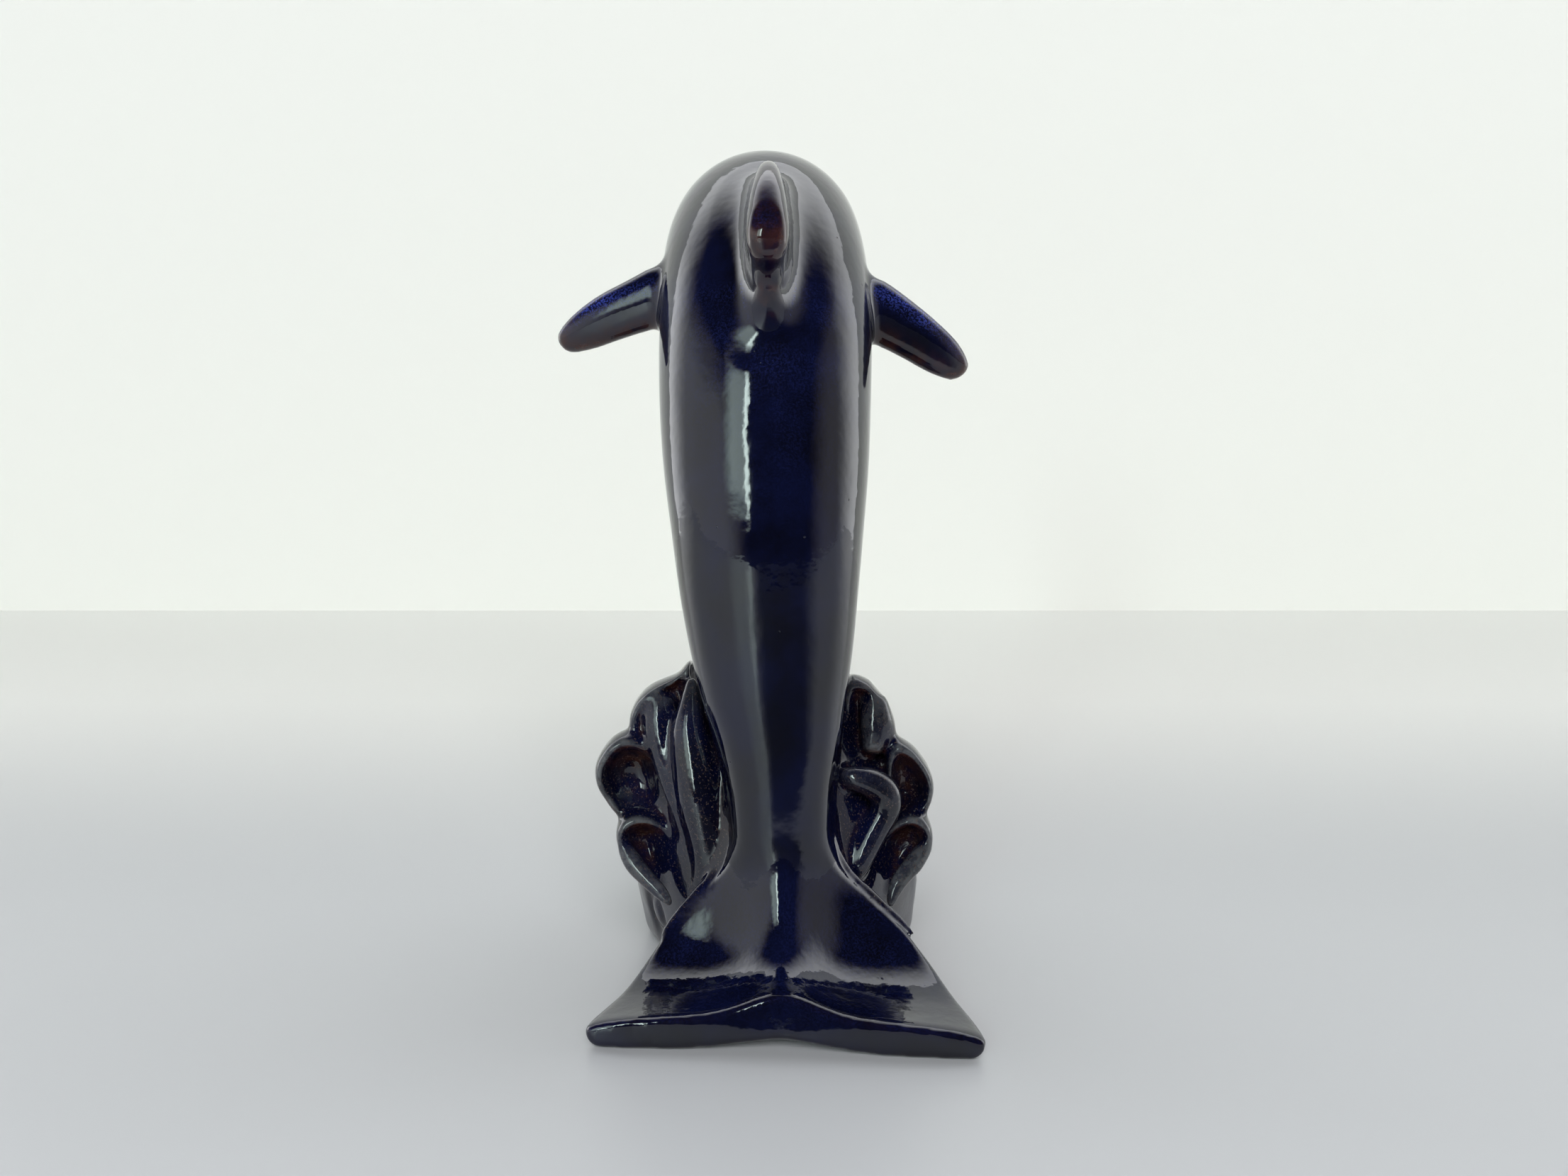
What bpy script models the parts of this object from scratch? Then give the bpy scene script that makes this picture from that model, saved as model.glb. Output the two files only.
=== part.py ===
"""Leaping dolphin on a wave, a glazed pottery ornament.

Metres, +Z up. The back of the dolphin faces -Y, its head leans over toward +Y, and its left side is -X.
Lengths below are millimetres and become metres when a mesh is made. Each form is drawn as a list of
stations, which are then stretched to the main sizes. What sits on another form is placed from that form.
"""

import math

import bmesh
import bpy
from mathutils import Matrix, Vector

for old in list(bpy.data.objects):
    bpy.data.objects.remove(old, do_unlink=True)

MM = 0.001
GAP = 0.3

# Dolphin: main sizes
ARCH_TOP = 151.0
STOCK_TOP = 33.0
STOCK_BACK = -20.2
HEAD_REACH = 99.4
BODY_WIDTH = 43.6
BODY_DEPTH = 41.0
FLUKE_LEFT = 36.1
FLUKE_RIGHT = 37.0
FLUKE_REACH = 21.0
FLUKE_THICKNESS = 6.6
RIDGE_WIDTH = 9.0
NOTCH_DEPTH = 1.9
NOTCH_WIDTH = 13.0
FLUKE_TURN = math.radians(4.0)
FIN_FROM_TIP = 90.5
FIN_REACH = 28.5
FIN_THICKNESS = 14.8
FLIPPER_FROM_TIP = 104.9
LEFT_FLIPPER_REACH = 21.6
RIGHT_FLIPPER_REACH = 20.0
FLIPPER_THICKNESS = 10.8

# Face: lengths along the spine back from the tip of the beak, and sizes
EYE_FROM_TIP = 40.4
EYE_RADIUS = 1.9
EYE_TURN = math.radians(-14.0)
MOUTH_LENGTH = 31.0
MOUTH_RADIUS = 0.55
MOUTH_TURN = math.radians(-22.0)
BLOWHOLE_FROM_TIP = 63.7
BLOWHOLE_WIDTH = 4.0

# Wave: main sizes
WAVE_HEIGHT = 63.2
WAVE_WIDTH = 63.4
WAVE_DEPTH = 76.4
WAVE_MIDDLE = -1.2
WAVE_FLUTES = 8
WAVE_SWIRL = 0.045
WAVE_NEAR_POWER = 1.9
CREST_RIM = 2.9
CREST_OPENING = 0.75
CREST_TRAIL = (7.0, -2.5)
FOOT_RECESS = 1.6
FOOT_RING = 4.5
VENT_RADIUS = 3.5
VENT_DEPTH = 12.0
OVAL_DEPTH = 2.4

# Fineness of the skins
TRUNK_SIDES = 28
TRUNK_STEPS = 2
FLUKE_SIDES = 30
FLUKE_STEPS = 2
FIN_SIDES = 18
FIN_STEPS = 2
FLIPPER_SIDES = 16
FLIPPER_STEPS = 2
WAVE_SIDES = 48
WAVE_STEPS = 1
CREST_SIDES = 32
ROLL_SIDES = 14
ROLL_STEPS = 2
FUSE_VOXEL = 0.7
FUSE_SMOOTHINGS = 8
CREST_TRIANGLES = 670

GLAZE = (0.012, 0.018, 0.055)

# Trunk: y, z, sideways lean, half width, depth to the back, depth to the belly
TRUNK = [
    (-20.2, 33.0, -0.5, 9.9, 8.8, 8.6),
    (-19.2, 41.0, -0.7, 10.6, 9.9, 9.4),
    (-17.8, 49.5, -1.1, 12.3, 11.4, 10.9),
    (-16.2, 58.0, -2.0, 14.3, 13.1, 12.6),
    (-14.4, 68.0, -2.5, 16.2, 14.8, 14.3),
    (-12.2, 79.0, -3.0, 17.8, 16.6, 16.0),
    (-9.6, 91.0, -3.3, 19.2, 18.4, 17.6),
    (-6.2, 103.5, -3.6, 20.6, 19.9, 18.8),
    (-2.0, 116.5, -3.8, 21.4, 20.9, 19.4),
    (3.8, 129.5, -3.8, 21.8, 21.4, 19.6),
    (12.4, 141.0, -4.0, 21.7, 21.3, 19.4),
    (24.0, 148.8, -4.1, 20.9, 20.8, 18.8),
    (36.4, 151.0, -3.8, 19.5, 19.0, 17.8),
    (47.8, 147.6, -3.1, 18.2, 17.2, 15.8),
    (56.8, 140.6, -2.7, 15.0, 15.0, 13.0),
    (62.4, 133.2, -2.4, 10.8, 11.6, 10.0),
    (66.2, 126.8, -2.2, 7.2, 6.6, 7.2),
    (70.2, 120.4, -2.0, 5.6, 4.6, 5.0),
    (74.4, 114.0, -1.8, 4.6, 3.8, 3.8),
    (77.6, 109.4, -1.7, 3.3, 2.8, 2.8),
    (79.2, 107.0, -1.6, 1.5, 1.3, 1.3),
]

# Flukes, in shares of what lies between the stock and the trailing edge:
# upper reach, upper height, lower reach, lower height, left width, right width, then wing thickness
FLUKES = [
    (0.0, 1.0, 0.0, 1.0, 0.0, 0.0, 3.0),
    (0.014, 0.921, 0.005, 0.879, 0.015, 0.02, 2.4),
    (0.052, 0.815, 0.013, 0.682, 0.088, 0.096, 1.5),
    (0.119, 0.691, 0.031, 0.473, 0.28, 0.3, 1.12),
    (0.219, 0.576, 0.063, 0.273, 0.472, 0.535, 1.0),
    (0.343, 0.491, 0.141, 0.121, 0.61, 0.69, 0.95),
    (0.486, 0.424, 0.272, 0.024, 0.71, 0.79, 0.9),
    (0.629, 0.376, 0.442, -0.048, 0.8, 0.868, 0.88),
    (0.762, 0.339, 0.626, -0.097, 0.892, 0.934, 0.88),
    (0.876, 0.312, 0.796, -0.121, 0.965, 0.98, 0.86),
    (0.962, 0.291, 0.932, -0.127, 1.0, 1.0, 0.8),
    (1.0, 0.255, 1.0, -0.103, 0.985, 0.985, 0.6),
]
FLUKE_EDGE = 0.2

# Dorsal fin, from a point of the back: leading y, leading z, trailing y, trailing z, half thickness
FIN = [
    (10.4, 0.7, -11.6, -32.3, 7.4),
    (8.9, 4.7, -15.6, -28.8, 6.2),
    (3.4, 6.9, -18.4, -24.8, 4.7),
    (-4.6, 7.1, -20.2, -20.5, 3.9),
    (-12.6, 5.3, -22.0, -16.9, 3.5),
    (-19.6, 1.9, -24.2, -14.9, 3.4),
    (-25.0, -2.9, -26.6, -13.4, 3.0),
    (-27.3, -6.2, -27.9, -11.8, 2.0),
    (-28.3, -8.0, -28.5, -10.2, 0.8),
]
FIN_LEAN = 1.0

# Flippers, from the side of the trunk: outward, forward, up, half chord, half thickness, turn in degrees
LEFT_FLIPPER = [
    (-10.6, 4.2, 10.5, 8.4, 5.4, 0.0),
    (-5.6, 4.7, 10.1, 7.8, 5.0, 8.0),
    (-1.0, 5.2, 8.9, 6.8, 4.4, 15.0),
    (4.4, 5.8, 7.1, 5.8, 4.0, 22.0),
    (10.9, 6.8, 4.5, 5.2, 3.6, 28.0),
    (16.4, 8.0, 1.7, 4.3, 3.1, 33.0),
    (20.4, 9.0, -0.6, 2.8, 2.2, 38.0),
    (21.6, 9.3, -1.4, 1.4, 1.2, 40.0),
]
RIGHT_FLIPPER = [
    (-9.0, 4.2, 7.9, 8.0, 5.4, 4.0),
    (-4.4, 4.7, 7.3, 7.4, 5.0, 12.0),
    (0.4, 5.2, 5.8, 6.7, 4.4, 22.0),
    (5.4, 6.0, 3.2, 5.9, 4.0, 33.0),
    (10.6, 7.0, -0.1, 5.3, 3.6, 40.0),
    (15.6, 8.2, -3.7, 4.5, 3.1, 45.0),
    (19.0, 9.0, -6.5, 2.9, 2.2, 48.0),
    (20.0, 9.2, -7.4, 1.4, 1.2, 50.0),
]

# Swell of the wave: z, left half width, right half width, near y, far y, fluting depth
WAVE = [
    (0.0, 28.0, 28.6, -22.0, 49.0, 0.0),
    (1.2, 29.1, 29.4, -23.2, 50.6, 0.0),
    (6.0, 30.1, 29.9, -24.0, 52.0, 0.2),
    (13.0, 31.5, 30.6, -24.4, 50.4, 0.5),
    (20.0, 32.6, 30.2, -23.4, 45.6, 0.7),
    (28.0, 32.0, 28.8, -21.6, 39.6, 0.8),
    (36.0, 30.0, 26.0, -19.4, 34.4, 0.8),
    (44.0, 28.0, 22.8, -16.6, 30.6, 0.7),
    (51.0, 25.0, 19.4, -13.4, 28.4, 0.5),
    (57.0, 21.4, 15.8, -9.8, 26.4, 0.3),
    (61.0, 16.8, 11.4, -6.0, 22.6, 0.1),
    (63.2, 11.0, 6.4, -1.0, 16.6, 0.0),
]

# Crests: y of the rim, depth of the cup, depth behind the rim, then the outline as x, z
CRESTS = {
    "left_upper_crest": (
        (-5.0, 1.2, 20.0),
        [(-19.4, 64.4), (-21.6, 61.2), (-24.2, 60.0), (-28.2, 58.0), (-30.7, 55.3), (-32.1, 52.2)]
        + [(-32.0, 49.3), (-29.9, 46.9), (-25.8, 45.4), (-22.0, 44.2), (-18.8, 47.2), (-18.4, 53.3)]
        + [(-18.6, 59.3)],
    ),
    "left_middle_crest": (
        (-7.0, 4.4, 22.0),
        [(-30.3, 48.8), (-34.0, 48.8), (-37.1, 46.1), (-39.2, 42.0), (-38.9, 37.9), (-37.0, 34.5)]
        + [(-34.7, 31.4), (-30.6, 30.0), (-26.1, 30.0), (-23.6, 33.6), (-24.3, 38.6), (-25.6, 44.2)]
        + [(-27.4, 47.4)],
    ),
    "left_lower_crest": (
        (-9.0, 3.6, 22.0),
        [(-30.3, 32.9), (-33.4, 31.6), (-34.8, 29.4), (-34.7, 26.4), (-33.0, 23.6), (-29.8, 20.3)]
        + [(-26.1, 16.8), (-22.4, 14.6), (-20.2, 18.2), (-20.6, 24.0), (-22.6, 28.8), (-25.9, 31.8)],
    ),
    "right_upper_crest": (
        (-5.0, 2.0, 20.0),
        [(13.3, 60.7), (17.0, 59.9), (19.6, 57.2), (21.9, 54.0), (23.1, 50.7), (23.1, 48.0), (21.6, 45.4)]
        + [(18.7, 43.3), (15.0, 42.2), (12.6, 45.2), (12.2, 51.8), (12.4, 57.6)],
    ),
    "right_middle_crest": (
        (-7.0, 4.4, 22.0),
        [(22.8, 47.8), (25.8, 46.6), (28.9, 43.4), (30.8, 39.8), (31.2, 36.6), (30.3, 33.2), (28.6, 31.0)]
        + [(25.1, 29.4), (21.8, 29.0), (19.8, 32.0), (20.6, 36.4), (21.2, 40.6), (21.4, 44.8)],
    ),
    "right_lower_crest": (
        (-9.0, 3.6, 22.0),
        [(27.1, 32.9), (29.5, 31.6), (30.8, 29.0), (30.9, 26.2), (29.6, 23.3), (26.6, 20.2), (23.8, 17.0)]
        + [(20.8, 14.6), (18.0, 17.4), (17.8, 23.6), (20.0, 28.2), (23.2, 31.6)],
    ),
}

# Rolls beside the tail stock: x, y, z, radius
ROLLS = {
    "left_inner_roll": [
        (-18.7, -8.0, 61.2, 1.2),
        (-18.9, -9.0, 56.2, 2.6),
        (-19.1, -10.2, 50.5, 3.9),
        (-17.9, -11.8, 43.5, 4.8),
        (-16.7, -13.4, 36.5, 4.9),
        (-15.7, -15.0, 30.3, 4.0),
        (-15.8, -16.4, 24.8, 2.7),
        (-17.4, -17.4, 19.9, 1.1),
    ],
    "right_inner_curl": [
        (11.2, -13.6, 42.4, 1.6),
        (14.3, -13.8, 41.6, 2.6),
        (17.6, -13.2, 40.4, 3.2),
        (20.4, -12.8, 38.2, 3.4),
        (20.8, -12.8, 35.0, 3.2),
        (19.0, -13.6, 31.6, 3.0),
        (17.0, -14.8, 28.0, 2.9),
        (15.6, -16.2, 24.6, 2.4),
        (14.8, -17.4, 21.4, 1.2),
    ],
}

# Folds that run down the near side from a crest: x, y, z, radius
FOLDS = {
    "left_upper_crest": [
        (-25.4, -5.0, 56.8, 2.8),
        (-25.5, -5.9, 52.9, 3.6),
        (-25.2, -7.6, 47.9, 3.2),
        (-24.0, -9.6, 42.2, 2.5),
        (-22.3, -11.2, 36.5, 2.0),
        (-20.9, -12.4, 31.5, 1.6),
        (-20.2, -13.2, 27.9, 0.9),
    ],
    "left_lower_crest": [
        (-33.0, -9.6, 25.8, 1.9),
        (-31.0, -11.2, 22.7, 2.2),
        (-28.1, -12.8, 20.0, 2.0),
        (-25.0, -14.4, 17.4, 1.7),
        (-22.8, -15.8, 15.2, 1.0),
    ],
    "right_upper_crest": [
        (18.6, -4.6, 56.4, 2.6),
        (18.9, -5.4, 52.9, 3.4),
        (18.7, -6.6, 48.6, 3.2),
        (18.1, -8.0, 45.0, 2.0),
    ],
    "right_lower_crest": [
        (29.2, -9.6, 25.8, 1.9),
        (26.8, -11.2, 22.7, 2.2),
        (24.0, -12.8, 20.0, 2.0),
        (22.3, -14.4, 17.2, 1.6),
        (21.6, -15.8, 14.8, 1.0),
    ],
}

# Ridges that run from a crest round the swell and sink into its far side: degrees round from the side,
# z, radius, height above the swell
RIDGES = {
    "left_upper_crest": [
        (0, 50.5, 7.0, 3.8),
        (18, 49.5, 7.0, 3.5),
        (36, 47.6, 7.0, 3.2),
        (54, 44.6, 6.6, 2.8),
        (70, 40.8, 6.2, 2.2),
        (86, 36.2, 5.6, 1.4),
        (100, 31.4, 5.0, 0.3),
    ],
    "left_middle_crest": [
        (-4, 38.6, 8.0, 4.2),
        (16, 36.8, 8.0, 3.8),
        (36, 33.8, 7.6, 3.4),
        (56, 29.6, 7.0, 2.9),
        (74, 24.4, 6.4, 2.2),
        (90, 18.6, 5.8, 1.4),
        (104, 13.2, 5.0, 0.3),
    ],
    "left_lower_crest": [
        (-34, 25.6, 5.6, 2.2),
        (-14, 24.6, 6.8, 1.9),
        (10, 22.8, 7.0, 1.7),
        (30, 20.0, 6.6, 2.1),
        (50, 16.4, 6.2, 2.5),
        (68, 12.4, 5.6, 2.0),
        (84, 8.6, 5.0, 1.2),
        (96, 5.6, 4.4, 0.3),
    ],
    "right_upper_crest": [
        (0, 49.0, 6.6, 3.2),
        (18, 47.4, 6.6, 3.1),
        (36, 44.8, 6.4, 2.9),
        (52, 41.0, 6.2, 2.6),
        (66, 36.2, 5.8, 2.1),
        (78, 30.6, 5.2, 1.4),
        (86, 25.0, 4.6, 0.3),
    ],
    "right_middle_crest": [
        (-4, 37.4, 7.4, 3.8),
        (16, 35.2, 7.4, 3.5),
        (34, 31.8, 7.0, 3.1),
        (50, 27.2, 6.6, 2.7),
        (64, 21.6, 6.0, 2.1),
        (76, 15.6, 5.4, 1.3),
        (84, 10.2, 4.8, 0.3),
    ],
    "right_lower_crest": [
        (-34, 25.2, 5.4, 2.0),
        (-14, 24.2, 6.6, 1.8),
        (10, 21.8, 6.8, 1.7),
        (28, 18.6, 6.4, 2.0),
        (44, 14.8, 6.0, 2.3),
        (58, 11.0, 5.4, 1.8),
        (70, 7.6, 4.8, 1.0),
        (78, 5.0, 4.2, 0.3),
    ],
}

# Oval hollow low on the left flank: x, y, z, then half length and half height
FLANK_OVAL = (-31.2, -3.0, 9.0, 3.8, 5.8)
VENT_PLACE = (-1.2, 16.0)

collection = bpy.data.collections.new("dolphin_on_wave")
bpy.context.scene.collection.children.link(collection)
cutters = bpy.data.collections.new("cutters")
bpy.context.scene.collection.children.link(cutters)


def stretched(rows, factors, start=None):
    """Stations with each column scaled by its factor, measured from the start values (zero where none)."""
    start = start or [0.0] * len(factors)
    return [
        tuple(low + (value - base) * factor for value, factor, (base, low) in zip(row, factors, pairs(start)))
        for row in rows
    ]


def pairs(start):
    """Each start value as (drawn, wanted): one number stands for both."""
    return [value if isinstance(value, tuple) else (value, value) for value in start]


def smooth_rows(rows, steps):
    """Rows in between the given ones, on a smooth curve through them all."""
    rows = [tuple(float(value) for value in row) for row in rows]
    knots = [0.0]
    for before, after in zip(rows, rows[1:]):
        knots.append(knots[-1] + max(math.dist(before[:3], after[:3]), 1e-6) ** 0.5)
    slopes = []
    for index in range(len(rows)):
        low = max(index - 1, 0)
        high = min(index + 1, len(rows) - 1)
        span = knots[high] - knots[low]
        slopes.append([(b - a) / span for a, b in zip(rows[low], rows[high])])
    result = []
    for index in range(len(rows) - 1):
        width = knots[index + 1] - knots[index]
        for step in range(steps):
            t = step / steps
            h00 = 2 * t**3 - 3 * t**2 + 1
            h10 = t**3 - 2 * t**2 + t
            h01 = -2 * t**3 + 3 * t**2
            h11 = t**3 - t**2
            result.append(
                [
                    h00 * a + h10 * width * sa + h01 * b + h11 * width * sb
                    for a, b, sa, sb in zip(rows[index], rows[index + 1], slopes[index], slopes[index + 1])
                ]
            )
    result.append(list(rows[-1]))
    return result


def add_object(name, mesh, color, group):
    obj = bpy.data.objects.new(name, mesh)
    group.objects.link(obj)
    if color:
        material = bpy.data.materials.new(name + "_glaze")
        material.use_nodes = True
        shader = material.node_tree.nodes["Principled BSDF"]
        shader.inputs["Base Color"].default_value = (*color, 1.0)
        shader.inputs["Roughness"].default_value = 0.12
        mesh.materials.clear()
        mesh.materials.append(material)
    else:
        as_cutter(obj)
    return obj


def as_cutter(obj):
    """Keeps a helper shape with the cutters, out of the render."""
    for group in list(obj.users_collection):
        group.objects.unlink(obj)
    cutters.objects.link(obj)
    obj.hide_render = True
    obj.display_type = "WIRE"
    return obj


def loft(name, rings, color=None):
    """One closed skin through rings of equal count, with a flat cap on each end."""
    mesh = bpy.data.meshes.new(name)
    build = bmesh.new()
    made = [[build.verts.new(Vector(point) * MM) for point in ring] for ring in rings]
    count = len(made[0])
    for first, second in zip(made, made[1:]):
        for index in range(count):
            after = (index + 1) % count
            build.faces.new((first[index], first[after], second[after], second[index]))
    build.faces.new(list(reversed(made[0])))
    build.faces.new(made[-1])
    bmesh.ops.triangulate(build, faces=build.faces, quad_method="SHORT_EDGE")
    bmesh.ops.recalc_face_normals(build, faces=build.faces)
    build.to_mesh(mesh)
    build.free()
    for face in mesh.polygons:
        face.use_smooth = True
    return add_object(name, mesh, color, collection)


def settle(obj):
    """Puts the result of an object's modifiers in place of its mesh."""
    bpy.context.view_layer.update()
    graph = bpy.context.evaluated_depsgraph_get()
    mesh = bpy.data.meshes.new_from_object(obj.evaluated_get(graph))
    material = obj.data.materials[0] if obj.data.materials else None
    obj.modifiers.clear()
    obj.data = mesh
    mesh.materials.clear()
    if material:
        mesh.materials.append(material)


def fused(name, shapes, color, triangles):
    """Overlapping forms run together into one skin, the way slip joins them, then thinned to a light mesh."""
    build = bmesh.new()
    for shape in shapes:
        build.from_mesh(shape.data)
        bpy.data.objects.remove(shape, do_unlink=True)
    mesh = bpy.data.meshes.new(name)
    build.to_mesh(mesh)
    build.free()
    obj = add_object(name, mesh, color, collection)
    remesh = obj.modifiers.new("slip", "REMESH")
    remesh.mode = "VOXEL"
    remesh.voxel_size = FUSE_VOXEL * MM
    remesh.use_smooth_shade = True
    soften = obj.modifiers.new("soften", "SMOOTH")
    soften.factor = 0.5
    soften.iterations = FUSE_SMOOTHINGS
    settle(obj)
    obj.data.calc_loop_triangles()
    thin = obj.modifiers.new("thin", "DECIMATE")
    thin.ratio = triangles / len(obj.data.loop_triangles)
    thin.use_collapse_triangulate = True
    settle(obj)
    return obj


def inflated(obj, distance=GAP):
    """A copy of an object that stands off its surface by the joint gap, for cutting its neighbours."""
    copy = obj.copy()
    copy.data = obj.data.copy()
    copy.data.materials.clear()
    copy.name = obj.name + "_clearance"
    as_cutter(copy)
    swell = copy.modifiers.new("clearance", "DISPLACE")
    swell.strength = distance * MM
    swell.mid_level = 0.0
    settle(copy)
    return copy


def cut(obj, cutter, operation="DIFFERENCE"):
    boolean = obj.modifiers.new("cut", "BOOLEAN")
    boolean.operation = operation
    boolean.solver = "EXACT"
    boolean.object = cutter
    settle(obj)


def largest_body(build):
    """The vertices of the biggest connected piece; the rest are chips that a cut left loose."""
    waiting = set(build.verts)
    best = set()
    while waiting:
        found = {waiting.pop()}
        front = list(found)
        while front:
            vert = front.pop()
            for edge in vert.link_edges:
                other = edge.other_vert(vert)
                if other not in found:
                    found.add(other)
                    front.append(other)
        waiting -= found
        if len(found) > len(best):
            best = found
    return best


def tidy_mesh(obj, distance=0.0002):
    """Welds the very short edges that a cut leaves, drops loose chips and turns every face outward.

    Two neighbours with a corner nearly in line between them can both split off the same sliver, so both go.
    """
    build = bmesh.new()
    build.from_mesh(obj.data)
    kept = largest_body(build)
    bmesh.ops.delete(build, geom=[vert for vert in build.verts if vert not in kept], context="VERTS")
    bmesh.ops.remove_doubles(build, verts=build.verts, dist=distance * MM)
    bmesh.ops.dissolve_degenerate(build, edges=build.edges, dist=distance * MM)
    build.verts.index_update()
    bmesh.ops.triangulate(build, faces=build.faces)
    seen = {}
    doubled = []
    for face in build.faces:
        corners = frozenset(vert.index for vert in face.verts)
        if corners in seen:
            doubled += [face, seen[corners]]
        seen[corners] = face
    bmesh.ops.delete(build, geom=doubled, context="FACES")
    bmesh.ops.recalc_face_normals(build, faces=build.faces)
    build.to_mesh(obj.data)
    build.free()


def spine_run(rows, index):
    """Which way the spine heads at a station, as (y, z); it leaves the stock straight up."""
    if index == 0:
        return Vector((0.0, 1.0))
    before = rows[index - 1]
    after = rows[min(index + 1, len(rows) - 1)]
    return Vector((after[0] - before[0], after[1] - before[1])).normalized()


def at_place(rows, place):
    """The row of values at a place between two stations."""
    index = min(int(place), len(rows) - 2)
    return [a + (b - a) * (place - index) for a, b in zip(rows[index], rows[index + 1])]


def on_trunk(rows, place, angle):
    """A point of the trunk's surface at a place between two stations.

    The angle turns from the right side toward the back, or toward the belly where it is negative.
    """
    index = min(int(place), len(rows) - 2)
    y, z, lean, half, back, belly = at_place(rows, place)
    run = spine_run(rows, index).lerp(spine_run(rows, index + 1), place - index).normalized()
    depth = (back if math.sin(angle) > 0 else belly) * math.sin(angle)
    return Vector((lean + half * math.cos(angle), y - run.y * depth, z + run.x * depth))


def from_tip(rows, distance):
    """The place between two stations that lies a distance back from the tip of the beak along the spine."""
    for index in range(len(rows) - 1, 0, -1):
        step = math.dist(rows[index][:2], rows[index - 1][:2])
        if step >= distance:
            return index - distance / step
        distance -= step
    return 0.0


def trunk_rings(rows, sides):
    """Oval sections square to the spine, deeper or shallower toward the back and the belly."""
    angles = [2 * math.pi * side / sides for side in range(sides)]
    return [[on_trunk(rows, index, angle) for angle in angles] for index in range(len(rows))]


def fluke_rows(stock):
    """Fluke stations in real sizes, from the trunk's first station down to the trailing edge."""
    y, z, lean, half, back, belly = stock
    under_reach = FLUKE_REACH + back + belly - FLUKE_EDGE
    rows = []
    for upper, upper_height, lower, lower_height, left, right, wing in FLUKES:
        rows.append(
            (
                y - back - FLUKE_REACH * upper,
                z * upper_height,
                y + belly - under_reach * lower,
                z * lower_height,
                half + (FLUKE_LEFT - half) * left,
                half + (FLUKE_RIGHT - half) * right,
                FLUKE_THICKNESS / 2 * wing * 0.88,
            )
        )
    return rows


def fluke_rings(rows, sides, lean):
    """Sections that open from the round tail stock into two thin wings with a ridge between them."""
    rings = []
    for index, row in enumerate(rows):
        upper = Vector((row[0], row[1]))
        lower = Vector((row[2], row[3]))
        left, right, wing = row[4:7]
        centre = (upper + lower) / 2
        rise = upper - lower
        half = rise.length / 2
        rise.normalize()
        grown = index / (len(rows) - 1)
        wing = min(wing, half)
        ring = []
        for side in range(sides):
            angle = 2 * math.pi * side / sides
            along = math.cos(angle)
            reach = right if along > 0 else left
            across = reach * along
            rim = abs(math.sin(angle))
            swell = (half - wing) * math.exp(-((across / RIDGE_WIDTH) ** 2))
            depth = (wing + swell) * rim if grown > 0 else half * rim
            if math.sin(angle) < 0:
                depth = -(depth * (1.0 - grown) + half * grown * rim**0.6)
            notch = NOTCH_DEPTH * grown**3 * math.exp(-((across / NOTCH_WIDTH) ** 2))
            turn = -across * math.tan(FLUKE_TURN) * grown
            y = centre.x + rise.x * depth + notch + turn
            z = centre.y + rise.y * depth
            ring.append((lean + across, y, max(z, notch * 1.1)))
        rings.append(ring)
    return rings


def fin_rings(rows, sides, anchor):
    """Sections of the dorsal fin, a little fuller behind, placed from a point of the back."""
    rings = []
    for lead_y, lead_z, trail_y, trail_z, half in rows:
        centre = Vector(((lead_y + trail_y) / 2, (lead_z + trail_z) / 2))
        chord = Vector((lead_y, lead_z)) - centre
        ring = []
        for side in range(sides):
            angle = 2 * math.pi * side / sides
            along = math.cos(angle)
            fullness = 1.0 - 0.18 * along
            across = FIN_LEAN + half * fullness * math.sin(angle)
            ring.append(anchor + Vector((across, centre.x + chord.x * along, centre.y + chord.y * along)))
        rings.append(ring)
    return rings


def flipper_rings(rows, sides, anchor, hand):
    """Oval sections; the chord stands near upright at the root and turns as the flipper droops."""
    rings = []
    for outward, forward, up, chord, thick, lean in rows:
        centre = anchor + Vector((hand * outward, forward, up))
        tilt = math.radians(lean) * hand
        upright = Vector((math.sin(tilt), 0.10, math.cos(tilt))).normalized()
        across = Vector((0.0, 1.0, -0.10)).normalized()
        ring = []
        for side in range(sides):
            angle = 2 * math.pi * side / sides
            ring.append(centre + upright * chord * math.cos(angle) + across * thick * math.sin(angle))
        rings.append(ring)
    return rings


def on_swell(row, angle, proud=0.0):
    """A point of the swell's skin at one level, or a height above it; fluted where the water runs up."""
    z, left, right, near, far, flute = row
    across = math.cos(angle)
    forth = math.sin(angle)
    middle = near + 0.42 * (far - near)
    x = WAVE_MIDDLE + (right if across > 0 else left) * math.copysign(abs(across) ** 0.86, across)
    if forth > 0:
        y = middle + (far - middle) * forth**0.86
    else:
        y = middle - (middle - near) * abs(forth) ** WAVE_NEAR_POWER
    swirl = WAVE_SWIRL * z * WAVE_FLUTES / 2
    wobble = flute * math.cos(WAVE_FLUTES * angle + swirl) * max(0.0, 0.35 + forth) ** 0.5
    return Vector((x + across * (wobble + proud), y + forth * (wobble + proud), z))


def wave_rings(rows, sides):
    """Level sections of the swell."""
    return [[on_swell(row, 2 * math.pi * side / sides) for side in range(sides)] for row in rows]


def ridge_path(rows, ridge, hand):
    """Centres of a ridge on the swell, as x, y, z, radius."""
    path = []
    for turn, z, radius, proud in ridge:
        index = max(place for place in range(len(rows) - 1) if rows[place][0] <= z * wave_z)
        share = (z * wave_z - rows[index][0]) / (rows[index + 1][0] - rows[index][0])
        angle = math.radians(turn if hand > 0 else 180 - turn)
        level = [*at_place(rows, index + share)[:5], 0.0]
        path.append((*on_swell(level, angle, proud - radius), radius))
    return path


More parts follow.
